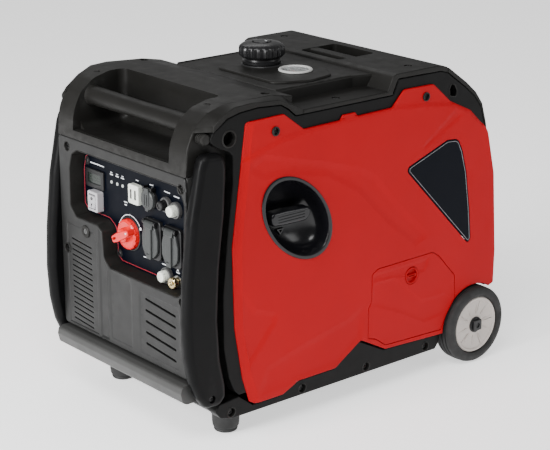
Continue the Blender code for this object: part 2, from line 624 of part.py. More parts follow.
def make_recoil():
    outer = -HALF_WIDTH
    lathe("recoil_bezel", [
        (BOWL_R - 6, outer - 2.5), (BOWL_R + 3, outer - 2.5), (BOWL_R + 3, outer - 0.4),
        (BOWL_R - 0.4, outer - 0.4), (BOWL_R - 4, BOWL_BACK - 10), (BOWL_R - 14, BOWL_BACK),
        (6, BOWL_BACK), (6, BOWL_BACK - 3), (BOWL_R - 15.5, BOWL_BACK - 3),
        (BOWL_R - 7.5, BOWL_BACK - 11)], "Y", BOWL, DARK, 40)
    x, z = BOWL
    grip = prism("recoil_grip", [(x - 34, z - 11), (x + 30, z - 14), (x + 36, z - 6), (x + 36, z + 4),
                                 (x + 30, z + 8), (x - 32, z + 8), (x - 36, z + 2)], "Y", -145, -164,
                 DARK, bevel=3.0)
    fuse(grip, cylinder("grip_neck", "Y", BOWL, 5.0, -147, -135.4, count=16))
    set_axis(grip, (x, -150, z))


def rope_path():
    """Rope: straight back from the grip through the eyelet, then across to the reel."""
    x, z = BOWL
    cx, cz = CRANK
    toward = Vector((cx - x, cz - z))
    distance = toward.length
    angle = math.atan2(toward.y, toward.x)
    lean = math.asin((REEL_R - 6) / distance)
    reach = math.sqrt(distance ** 2 - (REEL_R - 6) ** 2)
    end = Vector((x + reach * math.cos(angle + lean), z + reach * math.sin(angle + lean)))
    start = Vector((x, z))
    points = [(x, -134.6, z), (x, -129, z)]
    bend = 6.0
    for angle in (30, 60, 90):
        turn = math.radians(angle)
        spot = start + (end - start).normalized() * bend * (1 - math.cos(turn))
        points.append((spot.x, -129 + bend * math.sin(turn), spot.y))
    for k in range(1, 13):
        spot = start.lerp(end, k / 12)
        points.append((spot.x, -129 + bend, spot.y))
    return points


def make_rope():
    curve = bpy.data.curves.new("starter_rope", "CURVE")
    curve.dimensions = "3D"
    curve.bevel_depth = 2.0 * MM
    curve.bevel_resolution = 2
    curve.use_fill_caps = True
    points = rope_path()
    spline = curve.splines.new("POLY")
    spline.points.add(len(points) - 1)
    for target, point in zip(spline.points, points):
        target.co = (*(Vector(point) * MM), 1.0)
    curve.materials.append(CORD)
    rope = bpy.data.objects.new("starter_rope", curve)
    bpy.context.scene.collection.objects.link(rope)


def make_starter():
    housing = lathe("starter_housing", [
        (0, -141), (70, -141), (76, -135), (76, -106), (73, -106), (73, -134), (69, -138),
        (0, -138)], "Y", CRANK, BLACK, 32)
    points = [Vector(p) for p in rope_path()]
    middle = points[-4]
    direction = points[-1] - points[-7]
    bm = bmesh.new()
    add_prism(bm, circle(0, 0, 7, 12), "Z", -60, 45)
    turn = Vector((0, 0, 1)).rotation_difference(direction.normalized()).to_matrix().to_4x4()
    bmesh.ops.transform(bm, matrix=Matrix.Translation(middle) @ turn, verts=bm.verts)
    cut(housing, new_object("rope_slot", bm))
    reel = lathe("starter_reel", [
        (9, -135), (REEL_R, -135), (REEL_R, -132), (REEL_R - 9, -130), (REEL_R - 9, -116),
        (REEL_R, -114), (REEL_R, -110), (9, -110)], "Y", CRANK, DARK, 28)
    set_axis(reel, (CRANK[0], 0, CRANK[1]))


def make_engine():
    x, z = CRANK
    block = box("engine_block", (-50, -56, 70), (125, 52, 250), ALLOY)
    boss = cylinder("filler_boss", "Y", DIPSTICK, 18, -98, -50)
    sump = box("engine_feet", (-40, -50, 44.4), (115, 46, 74))
    fuse(block, boss, sump)
    cut(block, cylinder("crank_bore", "Y", CRANK, 12.5, -70, 60),
        cylinder("dipstick_bore", "Y", DIPSTICK, 8, -110, -30, count=16))
    head = box("cylinder_head", (-32, -36, 248), (78, 44, 330))
    for k in range(5):
        level = 262 + 12 * k
        cut(head, box("fin_gap_left", (-40, -45, level), (-18, 50, level + 6)),
            box("fin_gap_right", (64, -45, level), (90, 50, level + 6)))
    fuse(block, head)
    cap = lathe("spark_plug_cap", [(0, 330.4), (9, 330.4), (9, 345), (12, 350), (12, 366), (0, 370)],
                "Z", (23, 4), RUBBER, 16)
    cap.data.update()
    rotor = lathe("crankshaft_rotor", [
        (0, -104), (60, -104), (72, -100), (72, -62), (66, -62), (66, -94), (12, -96), (12, 50),
        (0, 50)], "Y", CRANK, STEEL, 32)
    set_axis(rotor, (x, 0, z))
    lathe("alternator_stator", [(18, -90), (60, -90), (60, -57), (18, -57)], "Y", CRANK, BRASS, 28)
    stick = lathe("oil_dipstick", [(0, -114), (14, -114), (16, -111), (16, -98.6), (6, -98.6),
                                   (6, -36), (0, -36)], "Y", DIPSTICK, DARK, 20)
    set_axis(stick, (DIPSTICK[0], 0, DIPSTICK[1]))


def make_engine_services():
    muffler = prism("muffler", chamfered(132, 150, 212, 300, 20), "Y", -64, 104, STEEL)
    fuse(muffler, cylinder("tail_pipe", "X", (60, 215), 16, 200, 284))
    cut(muffler, prism("muffler_hollow", chamfered(135, 153, 209, 297, 19), "Y", -61, 101),
        cylinder("tail_bore", "X", (60, 215), 12.5, 180, 300))
    box("carburettor", (-20, 52.6, 196), (34, 96, 244), ALLOY)
    box("air_filter_box", (-56, 96.6, 170), (70, 144, 290), DARK)
    module = box("inverter_module", (-240, -112, 112), (-190, 112, 200), ALLOY)
    for k in range(9):
        y = -100 + 24 * k
        cut(module, box("heat_sink_gap", (-200, y, 108), (-180, y + 8, 206)))


def main():
    clear_scene()
    make_base()
    make_feet()
    make_wheels()
    make_side(-1, "right")
    make_side(1, "left")
    make_inlays()
    make_service_cover()
    make_top_cover()
    make_front_housing()
    make_fascia()
    make_rear_cover()
    make_handle()
    make_plate()
    make_fittings()
    make_fuel_cap()
    make_gauge()
    make_tank()
    make_recoil()
    make_rope()
    make_starter()
    make_engine()
    make_engine_services()


main()
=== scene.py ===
"""Looks of the inverter generator: finer shells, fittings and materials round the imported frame.

Lengths are millimetres unless a name says otherwise; every mesh is written in metres.
-X is the control-panel end, -Y the starter side, +Z up, as in the frame.
"""
import json
import math

import bmesh
import bpy
import numpy as np
from mathutils import Matrix, Vector
from mathutils.geometry import delaunay_2d_cdt

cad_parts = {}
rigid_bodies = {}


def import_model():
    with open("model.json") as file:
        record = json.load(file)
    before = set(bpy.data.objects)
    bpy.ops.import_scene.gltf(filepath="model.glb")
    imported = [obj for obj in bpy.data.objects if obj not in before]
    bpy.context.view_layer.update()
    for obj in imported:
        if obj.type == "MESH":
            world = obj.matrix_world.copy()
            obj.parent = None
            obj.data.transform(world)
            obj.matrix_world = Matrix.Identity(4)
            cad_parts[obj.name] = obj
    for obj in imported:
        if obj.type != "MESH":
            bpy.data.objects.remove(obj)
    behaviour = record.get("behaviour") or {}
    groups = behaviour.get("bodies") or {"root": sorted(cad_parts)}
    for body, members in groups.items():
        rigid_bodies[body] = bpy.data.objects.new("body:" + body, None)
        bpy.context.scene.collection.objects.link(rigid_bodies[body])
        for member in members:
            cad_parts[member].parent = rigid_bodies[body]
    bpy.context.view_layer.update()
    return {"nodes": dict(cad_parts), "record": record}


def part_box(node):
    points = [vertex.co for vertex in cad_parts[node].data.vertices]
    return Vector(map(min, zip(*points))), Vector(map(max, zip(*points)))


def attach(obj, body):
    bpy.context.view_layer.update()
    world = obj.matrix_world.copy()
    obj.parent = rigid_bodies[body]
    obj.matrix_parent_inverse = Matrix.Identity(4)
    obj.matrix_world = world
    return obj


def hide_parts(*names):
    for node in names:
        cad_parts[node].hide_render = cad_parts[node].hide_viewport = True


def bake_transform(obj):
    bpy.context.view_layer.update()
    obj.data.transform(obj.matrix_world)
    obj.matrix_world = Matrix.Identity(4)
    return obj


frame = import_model()

MM = 0.001


def corners(node):
    """Lowest and highest corner of a CAD node in millimetres."""
    low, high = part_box(node)
    return [v / MM for v in low], [v / MM for v in high]


def middle(node):
    low, high = corners(node)
    return [(a + b) / 2 for a, b in zip(low, high)]


# ---- outlines

def area_of(outline):
    return 0.5 * sum(a[0] * b[1] - b[0] * a[1] for a, b in zip(outline, outline[1:] + outline[:1]))


def inset(outline, distance):
    """Move each edge of a closed outline inwards by a distance, with mitred corners."""
    side = 1.0 if area_of(outline) > 0 else -1.0
    result = []
    for i, point in enumerate(outline):
        here = Vector(point[:2])
        before = (here - Vector(outline[i - 1][:2])).normalized()
        after = (Vector(outline[(i + 1) % len(outline)][:2]) - here).normalized()
        n1 = Vector((-before.y, before.x)) * side
        n2 = Vector((-after.y, after.x)) * side
        result.append(tuple(here + (n1 + n2) * (distance / max(0.35, 1.0 + n1.dot(n2)))))
    return result


def rounded(outline, radius, steps=4):
    """Round every corner of a closed outline; a point may carry its own radius as a third value."""
    result = []
    count = len(outline)
    for i, point in enumerate(outline):
        r = point[2] if len(point) > 2 else radius
        here = Vector(point[:2])
        back = Vector(outline[i - 1][:2]) - here
        ahead = Vector(outline[(i + 1) % count][:2]) - here
        a, b = back.normalized(), ahead.normalized()
        half = 0.5 * a.angle(b, math.pi)
        if r <= 0 or half > math.radians(88):
            result.append(tuple(here))
            continue
        reach = min(r / math.tan(half), 0.48 * back.length, 0.48 * ahead.length)
        r = reach * math.tan(half)
        centre = here + (a + b).normalized() * (r / math.sin(half))
        start, end = here + a * reach - centre, here + b * reach - centre
        sweep = start.angle_signed(end)
        for k in range(steps + 1):
            turn = -sweep * k / steps
            c, q = math.cos(turn), math.sin(turn)
            result.append((centre.x + start.x * c - start.y * q, centre.y + start.x * q + start.y
                * c))
    return result


def circle(cu, cv, radius, count=32, start=0.0):
    return [(cu + radius * math.cos(start + math.tau * i / count),
        cv + radius * math.sin(start + math.tau * i / count)) for i in range(count)]


def around(centre, radius, angle):
    """The point at a distance and an angle in radians from a centre."""
    return (centre[0] + radius * math.cos(angle), centre[1] + radius * math.sin(angle))


def arc(centre, radius, first, last, steps):
    angles = [math.radians(first + (last - first) * k / steps) for k in range(steps + 1)]
    return [around(centre, radius, a) for a in angles]


def rectangle(cu, cv, half_u, half_v, radius=0.0, steps=4):
    box = [(cu - half_u, cv - half_v), (cu + half_u, cv - half_v), (cu + half_u, cv + half_v),
        (cu - half_u, cv + half_v)]
    return rounded(box, radius, steps) if radius else box


def resampled(outline, most):
    """Split the long edges of a closed outline so that none is over the given length."""
    result = []
    for a, b in zip(outline, outline[1:] + outline[:1]):
        parts = max(1, math.ceil(math.dist(a[:2], b[:2]) / most))
        result += [(a[0] + (b[0] - a[0]) * k / parts, a[1] + (b[1] - a[1]) * k / parts)
            for k in range(parts)]
    return result


def turned(points, centre, degrees):
    """Turn 2-D points about a centre."""
    c, s = math.cos(math.radians(degrees)), math.sin(math.radians(degrees))
    return [(centre[0] + (u - centre[0]) * c - (v - centre[1]) * s,
        centre[1] + (u - centre[0]) * s + (v - centre[1]) * c) for u, v in points]


def signed_distance(points, loop):
    """Distance of each point to a closed loop, positive inside it."""
    a = np.asarray([p[:2] for p in loop], float)
    b = np.roll(a, -1, axis=0)
    p = np.asarray(points, float)[:, None, :]
    edge = b - a
    t = np.clip(((p - a) * edge).sum(-1) / np.maximum((edge ** 2).sum(-1), 1e-12), 0, 1)
    gap = np.sqrt((((a + t[..., None] * edge) - p) ** 2).sum(-1)).min(1)
    px, py = p[..., 0], p[..., 1]
    crosses = (a[:, 1] > py) != (b[:, 1] > py)
    rise = np.where(np.abs(b[:, 1] - a[:, 1]) < 1e-12, 1e-12, b[:, 1] - a[:, 1])
    at = (b[:, 0] - a[:, 0]) * (py - a[:, 1]) / rise + a[:, 0]
    inside = ((crosses & (px < at)).sum(1) % 2).astype(bool)
    return np.where(inside, gap, -gap)


# ---- meshes

def place(u, v, t, axis):
    return {"X": (t, u, v), "Y": (u, t, v), "Z": (u, v, t)}[axis]


def new_object(name, bm):
    """An object in metres from a bmesh in millimetres, which is used up."""
    bmesh.ops.recalc_face_normals(bm, faces=bm.faces)
    bmesh.ops.scale(bm, vec=(MM, MM, MM), verts=bm.verts)
    mesh = bpy.data.meshes.new(name)
    bm.to_mesh(mesh)
    bm.free()
    obj = bpy.data.objects.new(name, mesh)
    bpy.context.scene.collection.objects.link(obj)
    return obj


def add_piece(name, bm, mat, body, replaces=(), sharp=32.0):
    """A finished piece from a bmesh in millimetres, riding on a body."""
    obj = new_object(name, bm)
    mesh = obj.data
    mesh.shade_smooth()
    mesh.set_sharp_from_angle(angle=math.radians(sharp))
    mesh.materials.append(mat)
    if body:
        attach(obj, body)
    if replaces:
        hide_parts(*replaces)
    return obj


def tidied(mesh):
    """Weld stray points and close the pinholes that a Boolean can leave."""
    bm = bmesh.new()
    bm.from_mesh(mesh)
    bmesh.ops.remove_doubles(bm, verts=bm.verts, dist=0.003 * MM)
    bmesh.ops.dissolve_degenerate(bm, edges=bm.edges, dist=0.002 * MM)
    loose = [v for v in bm.verts if not v.link_faces]
    bmesh.ops.delete(bm, geom=loose, context="VERTS")
    rims = [e for e in bm.edges if len(e.link_faces) == 1]
    if rims:
        bmesh.ops.holes_fill(bm, edges=rims, sides=0)
    bm.to_mesh(mesh)
    bm.free()


def apply_modifiers(obj, sharp=32.0):
    """Bake an object's modifiers into its mesh and shade it again."""
    bpy.context.view_layer.update()
    graph = bpy.context.evaluated_depsgraph_get()
    mesh = bpy.data.meshes.new_from_object(obj.evaluated_get(graph))
    obj.modifiers.clear()
    tidied(mesh)
    obj.data = mesh
    mesh.shade_smooth()
    mesh.set_sharp_from_angle(angle=math.radians(sharp))


def add_prism(bm, outline, axis, low, high):
    bottom = [bm.verts.new(place(u, v, low, axis)) for u, v in outline]
    top = [bm.verts.new(place(u, v, high, axis)) for u, v in outline]
    bm.faces.new(bottom[::-1])
    bm.faces.new(top)
    skin(bm, bottom, top)


def add_box(bm, low, high):
    add_prism(bm, [(low[0], low[1]), (high[0], low[1]), (high[0], high[1]), (low[0], high[1])], "Z",
        low[2], high[2])


def skin(bm, a, b):
    """Faces between two neighbouring rings; either ring may be a single point."""
    count = max(len(a), len(b))
    for i in range(count):
        j = (i + 1) % count
        if len(a) == 1 and len(b) == 1:
            continue
        if len(a) == 1:
            bm.faces.new((a[0], b[j], b[i]))
        elif len(b) == 1:
            bm.faces.new((a[i], a[j], b[0]))
        else:
            bm.faces.new((a[i], a[j], b[j], b[i]))


def add_lathe(bm, profile, axis, centre, count=48, closed=True):
    """Turn a (radius, height) profile round an axis through centre=(u, v)."""
    rings = []
    for radius, height in profile:
        if radius < 1e-6:
            rings.append([bm.verts.new(place(*centre, height, axis))])
        else:
            rings.append([bm.verts.new(place(u, v, height, axis))
                for u, v in circle(*centre, radius, count)])
    pairs = len(rings) if closed and profile[0][0] > 1e-6 else len(rings) - 1
    for k in range(pairs):
        skin(bm, rings[k], rings[(k + 1) % len(rings)])


def bevelled(obj, width, segments=3, angle=35.0):
    """Round the sharp edges of an object."""
    modifier = obj.modifiers.new("Rounded", "BEVEL")
    modifier.width = width * MM
    modifier.segments = segments
    modifier.limit_method = "ANGLE"
    modifier.angle_limit = math.radians(angle)
    modifier.harden_normals = False
    modifier.miter_outer = "MITER_ARC"
    apply_modifiers(obj)
    return obj


def tool(bm):
    """A cutter or an addition for a Boolean, thrown away afterwards."""
    return new_object("tool", bm)


def prism_tool(outline, axis, low, high, bevel=0.0, segments=3, angle=35.0):
    bm = bmesh.new()
    add_prism(bm, outline, axis, low, high)
    obj = tool(bm)
    if bevel:
        bevelled(obj, bevel, segments, angle)
    return obj


def box_tool(low, high):
    bm = bmesh.new()
    add_box(bm, low, high)
    return tool(bm)


def combine(obj, steps, sharp=32.0):
    """Boolean steps in order, each (operation, tool object); the tools are removed."""
    for operation, other in steps:
        modifier = obj.modifiers.new(operation, "BOOLEAN")
        modifier.operation = operation
        modifier.solver = "EXACT"
        modifier.object = other
    apply_modifiers(obj, sharp)
    for _, other in steps:
        bpy.data.objects.remove(other)
    return obj


def cut(obj, *tools, sharp=32.0):
    return combine(obj, [("DIFFERENCE", item) for item in tools], sharp)


def join(obj, *tools, sharp=32.0):
    return combine(obj, [("UNION", item) for item in tools], sharp)


def lathe(name, profile, axis, centre, mat, body, replaces=(), count=48, closed=True):
    bm = bmesh.new()
    add_lathe(bm, profile, axis, centre, count, closed)
    return add_piece(name, bm, mat, body, replaces)


def plate(name, outline, axis, face, back, mat, body, replaces=(), holes=(), edge=2.0,
        grid=9.0, relief=None, creases=(), steps=5, hole_edge=None):
    """A moulded plate: rounded rims round its outline and holes, and a relief on its face.

    face and back are coordinates along the axis; relief(points) gives how far the face lies
    below its plane, in millimetres; creases are polylines that the mesh follows."""
    outward = 1.0 if face > back else -1.0
    loops = [resampled(outline, grid)] + [resampled(h, grid * 0.5) for h in holes]
    points, edges = [], []
    for loop in loops:
        first = len(points)
        points += loop
        edges += [(first + i, first + (i + 1) % len(loop)) for i in range(len(loop))]
    rims = [edge] + [edge if hole_edge is None else hole_edge] * len(holes)
    for index, (loop, rim) in enumerate(zip(loops, rims)):
        inward = 1.0 if index == 0 else -1.0
        for k in range(1, steps + 1):
            if rim > 0:
                angle = math.radians(90.0 * k / steps)
                points += inset(loop, inward * rim * (1 - math.cos(angle)))
    for line in creases:
        first = len(points)
        points += [p[:2] for p in line]
        edges += [(first + i, first + i + 1) for i in range(len(line) - 1)]
    lows = np.min(np.asarray(loops[0]), axis=0)
    highs = np.max(np.asarray(loops[0]), axis=0)
    grid_u = np.arange(lows[0] + grid / 2, highs[0], grid)
    grid_v = np.arange(lows[1] + grid / 2, highs[1], grid)
    mesh_u, mesh_v = np.meshgrid(grid_u, grid_v)
    inner = np.column_stack([mesh_u.ravel(), mesh_v.ravel()])
    keep = signed_distance(inner, loops[0]) > edge + 0.6 * grid * 0.5
    for loop, rim in zip(loops[1:], rims[1:]):
        keep &= signed_distance(inner, loop) < -(rim + 0.3 * grid)
    points += [tuple(p) for p in inner[keep]]
    coords, _, faces, *_ = delaunay_2d_cdt([Vector(p) for p in points], edges, [], 0, 1e-4)
    coords = np.array([tuple(c) for c in coords])
    faces = np.array([tuple(f) for f in faces])
    centres = coords[faces].mean(1)
    inside = signed_distance(centres, loops[0]) > 0
    for loop in loops[1:]:
        inside &= signed_distance(centres, loop) < 0
    faces = faces[inside]
    used = np.unique(faces)
    renumber = {old: new for new, old in enumerate(used)}
    coords = coords[used]
    faces = [[renumber[i] for i in f] for f in faces]
    drop = np.zeros(len(coords))
    for index, (loop, rim) in enumerate(zip(loops, rims)):
        if rim <= 0:
            continue
        gap = signed_distance(coords, loop) * (1.0 if index == 0 else -1.0)
        near = np.clip(rim - gap, 0, rim)
        drop = np.maximum(drop, rim - np.sqrt(np.maximum(rim ** 2 - near ** 2, 0)))
    if relief is not None:
        drop = drop + relief(coords)
    bm = bmesh.new()
    top = [bm.verts.new(place(u, v, face - outward * d, axis)) for (u, v), d in zip(coords, drop)]
    for f in faces:
        try:
            bm.faces.new([top[i] for i in f])
        except ValueError:
            pass
    rim_edges = [e for e in bm.edges if len(e.link_faces) == 1]
    made = bmesh.ops.extrude_edge_only(bm, edges=rim_edges)["geom"]
    along = "XYZ".index(axis)
    bottom = [g for g in made if isinstance(g, bmesh.types.BMVert)]
    for vert in bottom:
        vert.co[along] = back
    base_edges = [e for e in bm.edges if len(e.link_faces) == 1]
    bmesh.ops.triangle_fill(bm, use_beauty=False, use_dissolve=False, edges=base_edges)
    return add_piece(name, bm, mat, body, replaces, sharp=24.0)


def embossed(fields):
    """A relief from (polygon, depth, slope width) fields: the face sinks inside each polygon."""
    def relief(points):
        depth = np.zeros(len(points))
        for polygon, sink, width in fields:
            depth += sink * np.clip(signed_distance(points, polygon) / width, 0, 1)
        return depth
    return relief


def field_lines(fields):
    """The crease lines of embossed fields: each polygon's border and the foot of its slope."""
    lines = []
    for polygon, _, width in fields:
        for loop in (polygon, inset(polygon, width)):
            loop = resampled(loop, 12.0)
            lines.append(loop + loop[:1])
    return lines


# ---- materials

class Nodes:
    """Small helper to wire a Principled material."""

    def __init__(self, name):
        self.mat = bpy.data.materials.new(name)
        self.mat.use_nodes = True
        self.tree = self.mat.node_tree
        self.shader = self.tree.nodes["Principled BSDF"]
        self.coords = self.add("ShaderNodeTexCoord")

    def add(self, kind, **settings):
        node = self.tree.nodes.new(kind)
        for key, value in settings.items():
            setattr(node, key, value)
        return node

    def wire(self, out, into):
        self.tree.links.new(out, into)

    def feed(self, key, value):
        """Drive an input of the surface shader."""
        self.wire(value, self.shader.inputs[key])

    def put(self, key, value):
        """Set a fixed input of the surface shader."""
        self.shader.inputs[key].default_value = value

    def noise(self, scale, detail=3.0):
        node = self.add("ShaderNodeTexNoise")
        node.inputs["Scale"].default_value = scale
        node.inputs["Detail"].default_value = detail
        self.wire(self.coords.outputs["Object"], node.inputs["Vector"])
        return node.outputs["Fac"]

    def span(self, source, from_low, from_high, low, high):
        node = self.add("ShaderNodeMapRange")
        for key, value in (("From Min", from_low), ("From Max", from_high), ("To Min", low),
                ("To Max", high)):
            node.inputs[key].default_value = value
        self.wire(source, node.inputs["Value"])
        return node.outputs["Result"]

    def mix(self, factor, first, second):
        node = self.add("ShaderNodeMix", data_type="RGBA")
        self.wire(factor, node.inputs["Factor"])
        for socket, value in ((6, first), (7, second)):
            if isinstance(value, tuple):
                node.inputs[socket].default_value = (*value, 1.0)
            else:
                self.wire(value, node.inputs[socket])
        return node.outputs[2]

    def bump(self, height, strength, distance):
        node = self.add("ShaderNodeBump")
        node.inputs["Strength"].default_value = strength
        node.inputs["Distance"].default_value = distance
        self.wire(height, node.inputs["Height"])
        return node.outputs["Normal"]


GRAIN_DEPTH = 0.00012          # metres


def shade(value, factor):
    return tuple(min(1.0, max(0.0, v * factor)) for v in value)


def plastic(name, colour, rough=0.45, grain=900.0, grain_strength=0.35, wear=0.35, variation=0.12,
        coat=0.0, specular=0.32):
    """Moulded plastic: fine grain, faint clouding, uneven sheen and paler rubbed edges."""
    n = Nodes(name)
    clouds = n.span(n.noise(9.0, 4.0), 0.35, 0.65, 0.0, 1.0)
    body = n.mix(clouds, shade(colour, 1.0 - variation), shade(colour, 1.0 + variation))
    edge = n.span(n.add("ShaderNodeNewGeometry").outputs["Pointiness"], 0.515, 0.60, 0.0, wear)
    scuff = n.span(n.noise(120.0, 5.0), 0.40, 0.70, 0.25, 1.0)
    worn = n.add("ShaderNodeMath", operation="MULTIPLY")
    n.wire(edge, worn.inputs[0])
    n.wire(scuff, worn.inputs[1])
    pale = tuple(min(1.0, c * 1.7 + 0.03) for c in colour)
    n.feed("Base Color", n.mix(worn.outputs[0], body, pale))
    n.feed("Roughness", n.span(n.noise(55.0, 5.0), 0.3, 0.7, rough - 0.05, rough + 0.07))
    fine = n.bump(n.noise(grain, 2.0), grain_strength, GRAIN_DEPTH)
    n.feed("Normal", fine)
    n.put("Specular IOR Level", specular)
    n.put("Coat Weight", coat)
    return n.mat


def metal(name, colour, rough=0.3):
    n = Nodes(name)
    clouds = n.span(n.noise(14.0, 4.0), 0.3, 0.7, 0.0, 1.0)
    n.feed("Base Color", n.mix(clouds, shade(colour, 0.85), shade(colour, 1.1)))
    n.put("Metallic", 1.0)
    n.feed("Roughness", n.span(n.noise(160.0, 4.0), 0.3, 0.7, rough - 0.08, rough + 0.12))
    n.feed("Normal", n.bump(n.noise(420.0, 3.0), 0.25, 0.00008))
    return n.mat


def rubber(name, colour):
    n = Nodes(name)
    dust = n.span(n.noise(26.0, 6.0), 0.45, 0.75, 0.0, 0.35)
    n.feed("Base Color", n.mix(dust, colour, shade(tuple(c + 0.012 for c in colour), 1.6)))
    n.feed("Roughness", n.span(n.noise(80.0, 4.0), 0.3, 0.7, 0.62, 0.82))
    n.feed("Normal", n.bump(n.noise(700.0, 3.0), 0.5, 0.00015))
    return n.mat


def clear(name, colour):
    n = Nodes(name)
    smear = n.span(n.noise(30.0, 4.0), 0.4, 0.7, 0.0, 1.0)
    n.feed("Base Color", n.mix(smear, colour, shade(colour, 0.94)))
    n.feed("Roughness", n.span(n.noise(60.0, 4.0), 0.3, 0.7, 0.05, 0.11))
    n.put("Transmission Weight", 0.92)
    n.put("IOR", 1.45)
    return n.mat


def braided(name, colour):
    n = Nodes(name)
    wave = n.add("ShaderNodeTexWave", wave_type="BANDS", bands_direction="DIAGONAL")
    wave.inputs["Scale"].default_value = 260.0
    wave.inputs["Distortion"].default_value = 1.5
    n.wire(n.coords.outputs["Object"], wave.inputs["Vector"])
    n.feed("Base Color", n.mix(wave.outputs["Fac"], shade(colour, 0.6), shade(colour, 1.5)))
    n.put("Roughness", 0.85)
    n.feed("Normal", n.bump(wave.outputs["Fac"], 0.7, 0.0004))
    return n.mat


BLACK = plastic("black_moulding", (0.0090, 0.0087, 0.0080), rough=0.42, wear=0.40, specular=0.12)
FRAME_BLACK = plastic("frame_moulding", (0.0022, 0.0022, 0.0022), rough=0.42, wear=0.30,
    specular=0.10)
DARK = plastic("dark_moulding", (0.005, 0.005, 0.0055), rough=0.36, wear=0.30)
GREY = plastic("grey_moulding", (0.030, 0.030, 0.029), rough=0.45, wear=0.40)
BAR_GREY = plastic("crossbar_moulding", (0.035, 0.035, 0.034), rough=0.42, wear=0.35)
RED = plastic("red_moulding", (0.33, 0.0006, 0.0042), rough=0.42, specular=0.08,
    grain_strength=0.12, wear=0.10, variation=0.03)
NAVY = plastic("navy_film", (0.0006, 0.0014, 0.0040), rough=0.36, specular=0.05, grain=500.0,
    grain_strength=0.08, wear=0.05, variation=0.05)
SILVER = plastic("silver_moulding", (0.40, 0.40, 0.39), rough=0.36, grain_strength=0.15, wear=0.10,
    variation=0.06)
WHITE = plastic("white_moulding", (0.66, 0.69, 0.62), rough=0.32, grain_strength=0.1, wear=0.05,
    variation=0.04)
DIAL_RED = plastic("dial_moulding", (0.62, 0.004, 0.006), rough=0.28, grain_strength=0.08,
    wear=0.15, variation=0.03, coat=0.2)
FLAP = plastic("flap_moulding", (0.026, 0.028, 0.028), rough=0.38, grain_strength=0.2, wear=0.3)
GREY_LINE = plastic("grey_line", (0.20, 0.20, 0.21), rough=0.4, grain_strength=0.05, wear=0.0)
INK = plastic("pale_ink", (0.62, 0.64, 0.66), rough=0.5, grain_strength=0.05, wear=0.0,
    variation=0.03)
FASCIA_GREY = plastic("fascia_moulding", (0.0062, 0.0062, 0.0060), rough=0.44, wear=0.35)
ARM_BLACK = plastic("arm_moulding", (0.0024, 0.0024, 0.0026), rough=0.40, wear=0.35, specular=0.08)
CAP_BLACK = plastic("cap_moulding", (0.006, 0.006, 0.0065), rough=0.30, wear=0.25)
GLOSS = plastic("gloss_moulding", (0.0050, 0.0050, 0.0064), rough=0.2, grain_strength=0.05,
    wear=0.1, specular=0.3)
COLLAR = plastic("collar_moulding", (0.05, 0.05, 0.05), rough=0.35)
HUB_SILVER = plastic("hub_moulding", (0.44, 0.40, 0.37), rough=0.34, grain_strength=0.12, wear=0.1,
    variation=0.08)
SILVER_CLEAR = plastic("switch_moulding", (0.40, 0.39, 0.41), rough=0.2, grain_strength=0.05,
    wear=0.1, coat=0.3)
LINE_RED = plastic("red_line", (0.30, 0.02, 0.03), rough=0.4, grain_strength=0.05, wear=0.0)
LAMP = plastic("lamp_lens", (0.40, 0.42, 0.40), rough=0.2, grain_strength=0.05, wear=0.0)
SEGMENT = plastic("display_segment", (0.03, 0.036, 0.03), rough=0.3, grain_strength=0.02, wear=0.0)
RUBBER = rubber("foot_rubber", (0.008, 0.008, 0.008))
TYRE = rubber("tyre_rubber", (0.0030, 0.0030, 0.0030))
STEEL = metal("zinc_steel", (0.46, 0.46, 0.45))
BLACK_STEEL = metal("black_screw", (0.05, 0.05, 0.05), rough=0.42)
ALLOY = metal("cast_alloy", (0.42, 0.42, 0.43), rough=0.5)
BRASS = metal("turned_brass", (0.62, 0.50, 0.26), rough=0.25)
GAUGE_FACE = plastic("gauge_card", (0.16, 0.17, 0.16), rough=0.35, grain_strength=0.05, wear=0.0)
LENS = clear("clear_lens", (0.93, 0.95, 0.95))
SCREEN = plastic("screen_glass", (0.012, 0.016, 0.014), rough=0.12, grain_strength=0.02, wear=0.0,
    variation=0.1)
CORD = braided("starter_cord", (0.09, 0.09, 0.09))

CAD_FINISH = {"black_plastic": BLACK, "dark_plastic": DARK, "grey_plastic": GREY,
    "red_plastic": RED, "navy_plate": NAVY, "rubber": RUBBER, "tyre": TYRE,
    "silver_plastic": SILVER, "white_plastic": WHITE, "dial_red": DIAL_RED, "flap_grey": FLAP,
    "steel": STEEL, "brass": BRASS, "cast_alloy": ALLOY, "cord": CORD,}


def finish_cad_nodes():
    """Every carried-over CAD node gets the material of its slot."""
    for part in frame["record"]["subparts"]:
        mesh = frame["nodes"][part["node"]].data
        mesh.materials.clear()
        mesh.materials.append(CAD_FINISH[part["material_slot"]])


finish_cad_nodes()

# ---- sizes read from the frame, and given outlines and positions

PANEL_LOW, PANEL_HIGH = corners("side_panel_right")
HALF_WIDTH = -PANEL_LOW[1]
PANEL_BACK = -PANEL_HIGH[1]
FRAME_OUT = -corners("side_frame_right")[0][1]
FRAME_IN = -corners("side_frame_right")[1][1]
BODY_IN = FRAME_IN - 0.4
WHEEL_X, _, WHEEL_Z = middle("tyre_right")
WHEEL = (WHEEL_X, WHEEL_Z)
WHEEL_R = (corners("tyre_right")[1][2] - corners("tyre_right")[0][2]) / 2
BOWL = (middle("recoil_bezel")[0], middle("recoil_bezel")[2])
FASCIA_X = corners("front_fascia")[0][0]
PLATE_X = corners("control_plate")[0][0]
ARCH_R = WHEEL_R + 3.5
SIDES = ((-1, "right"), (1, "left"))

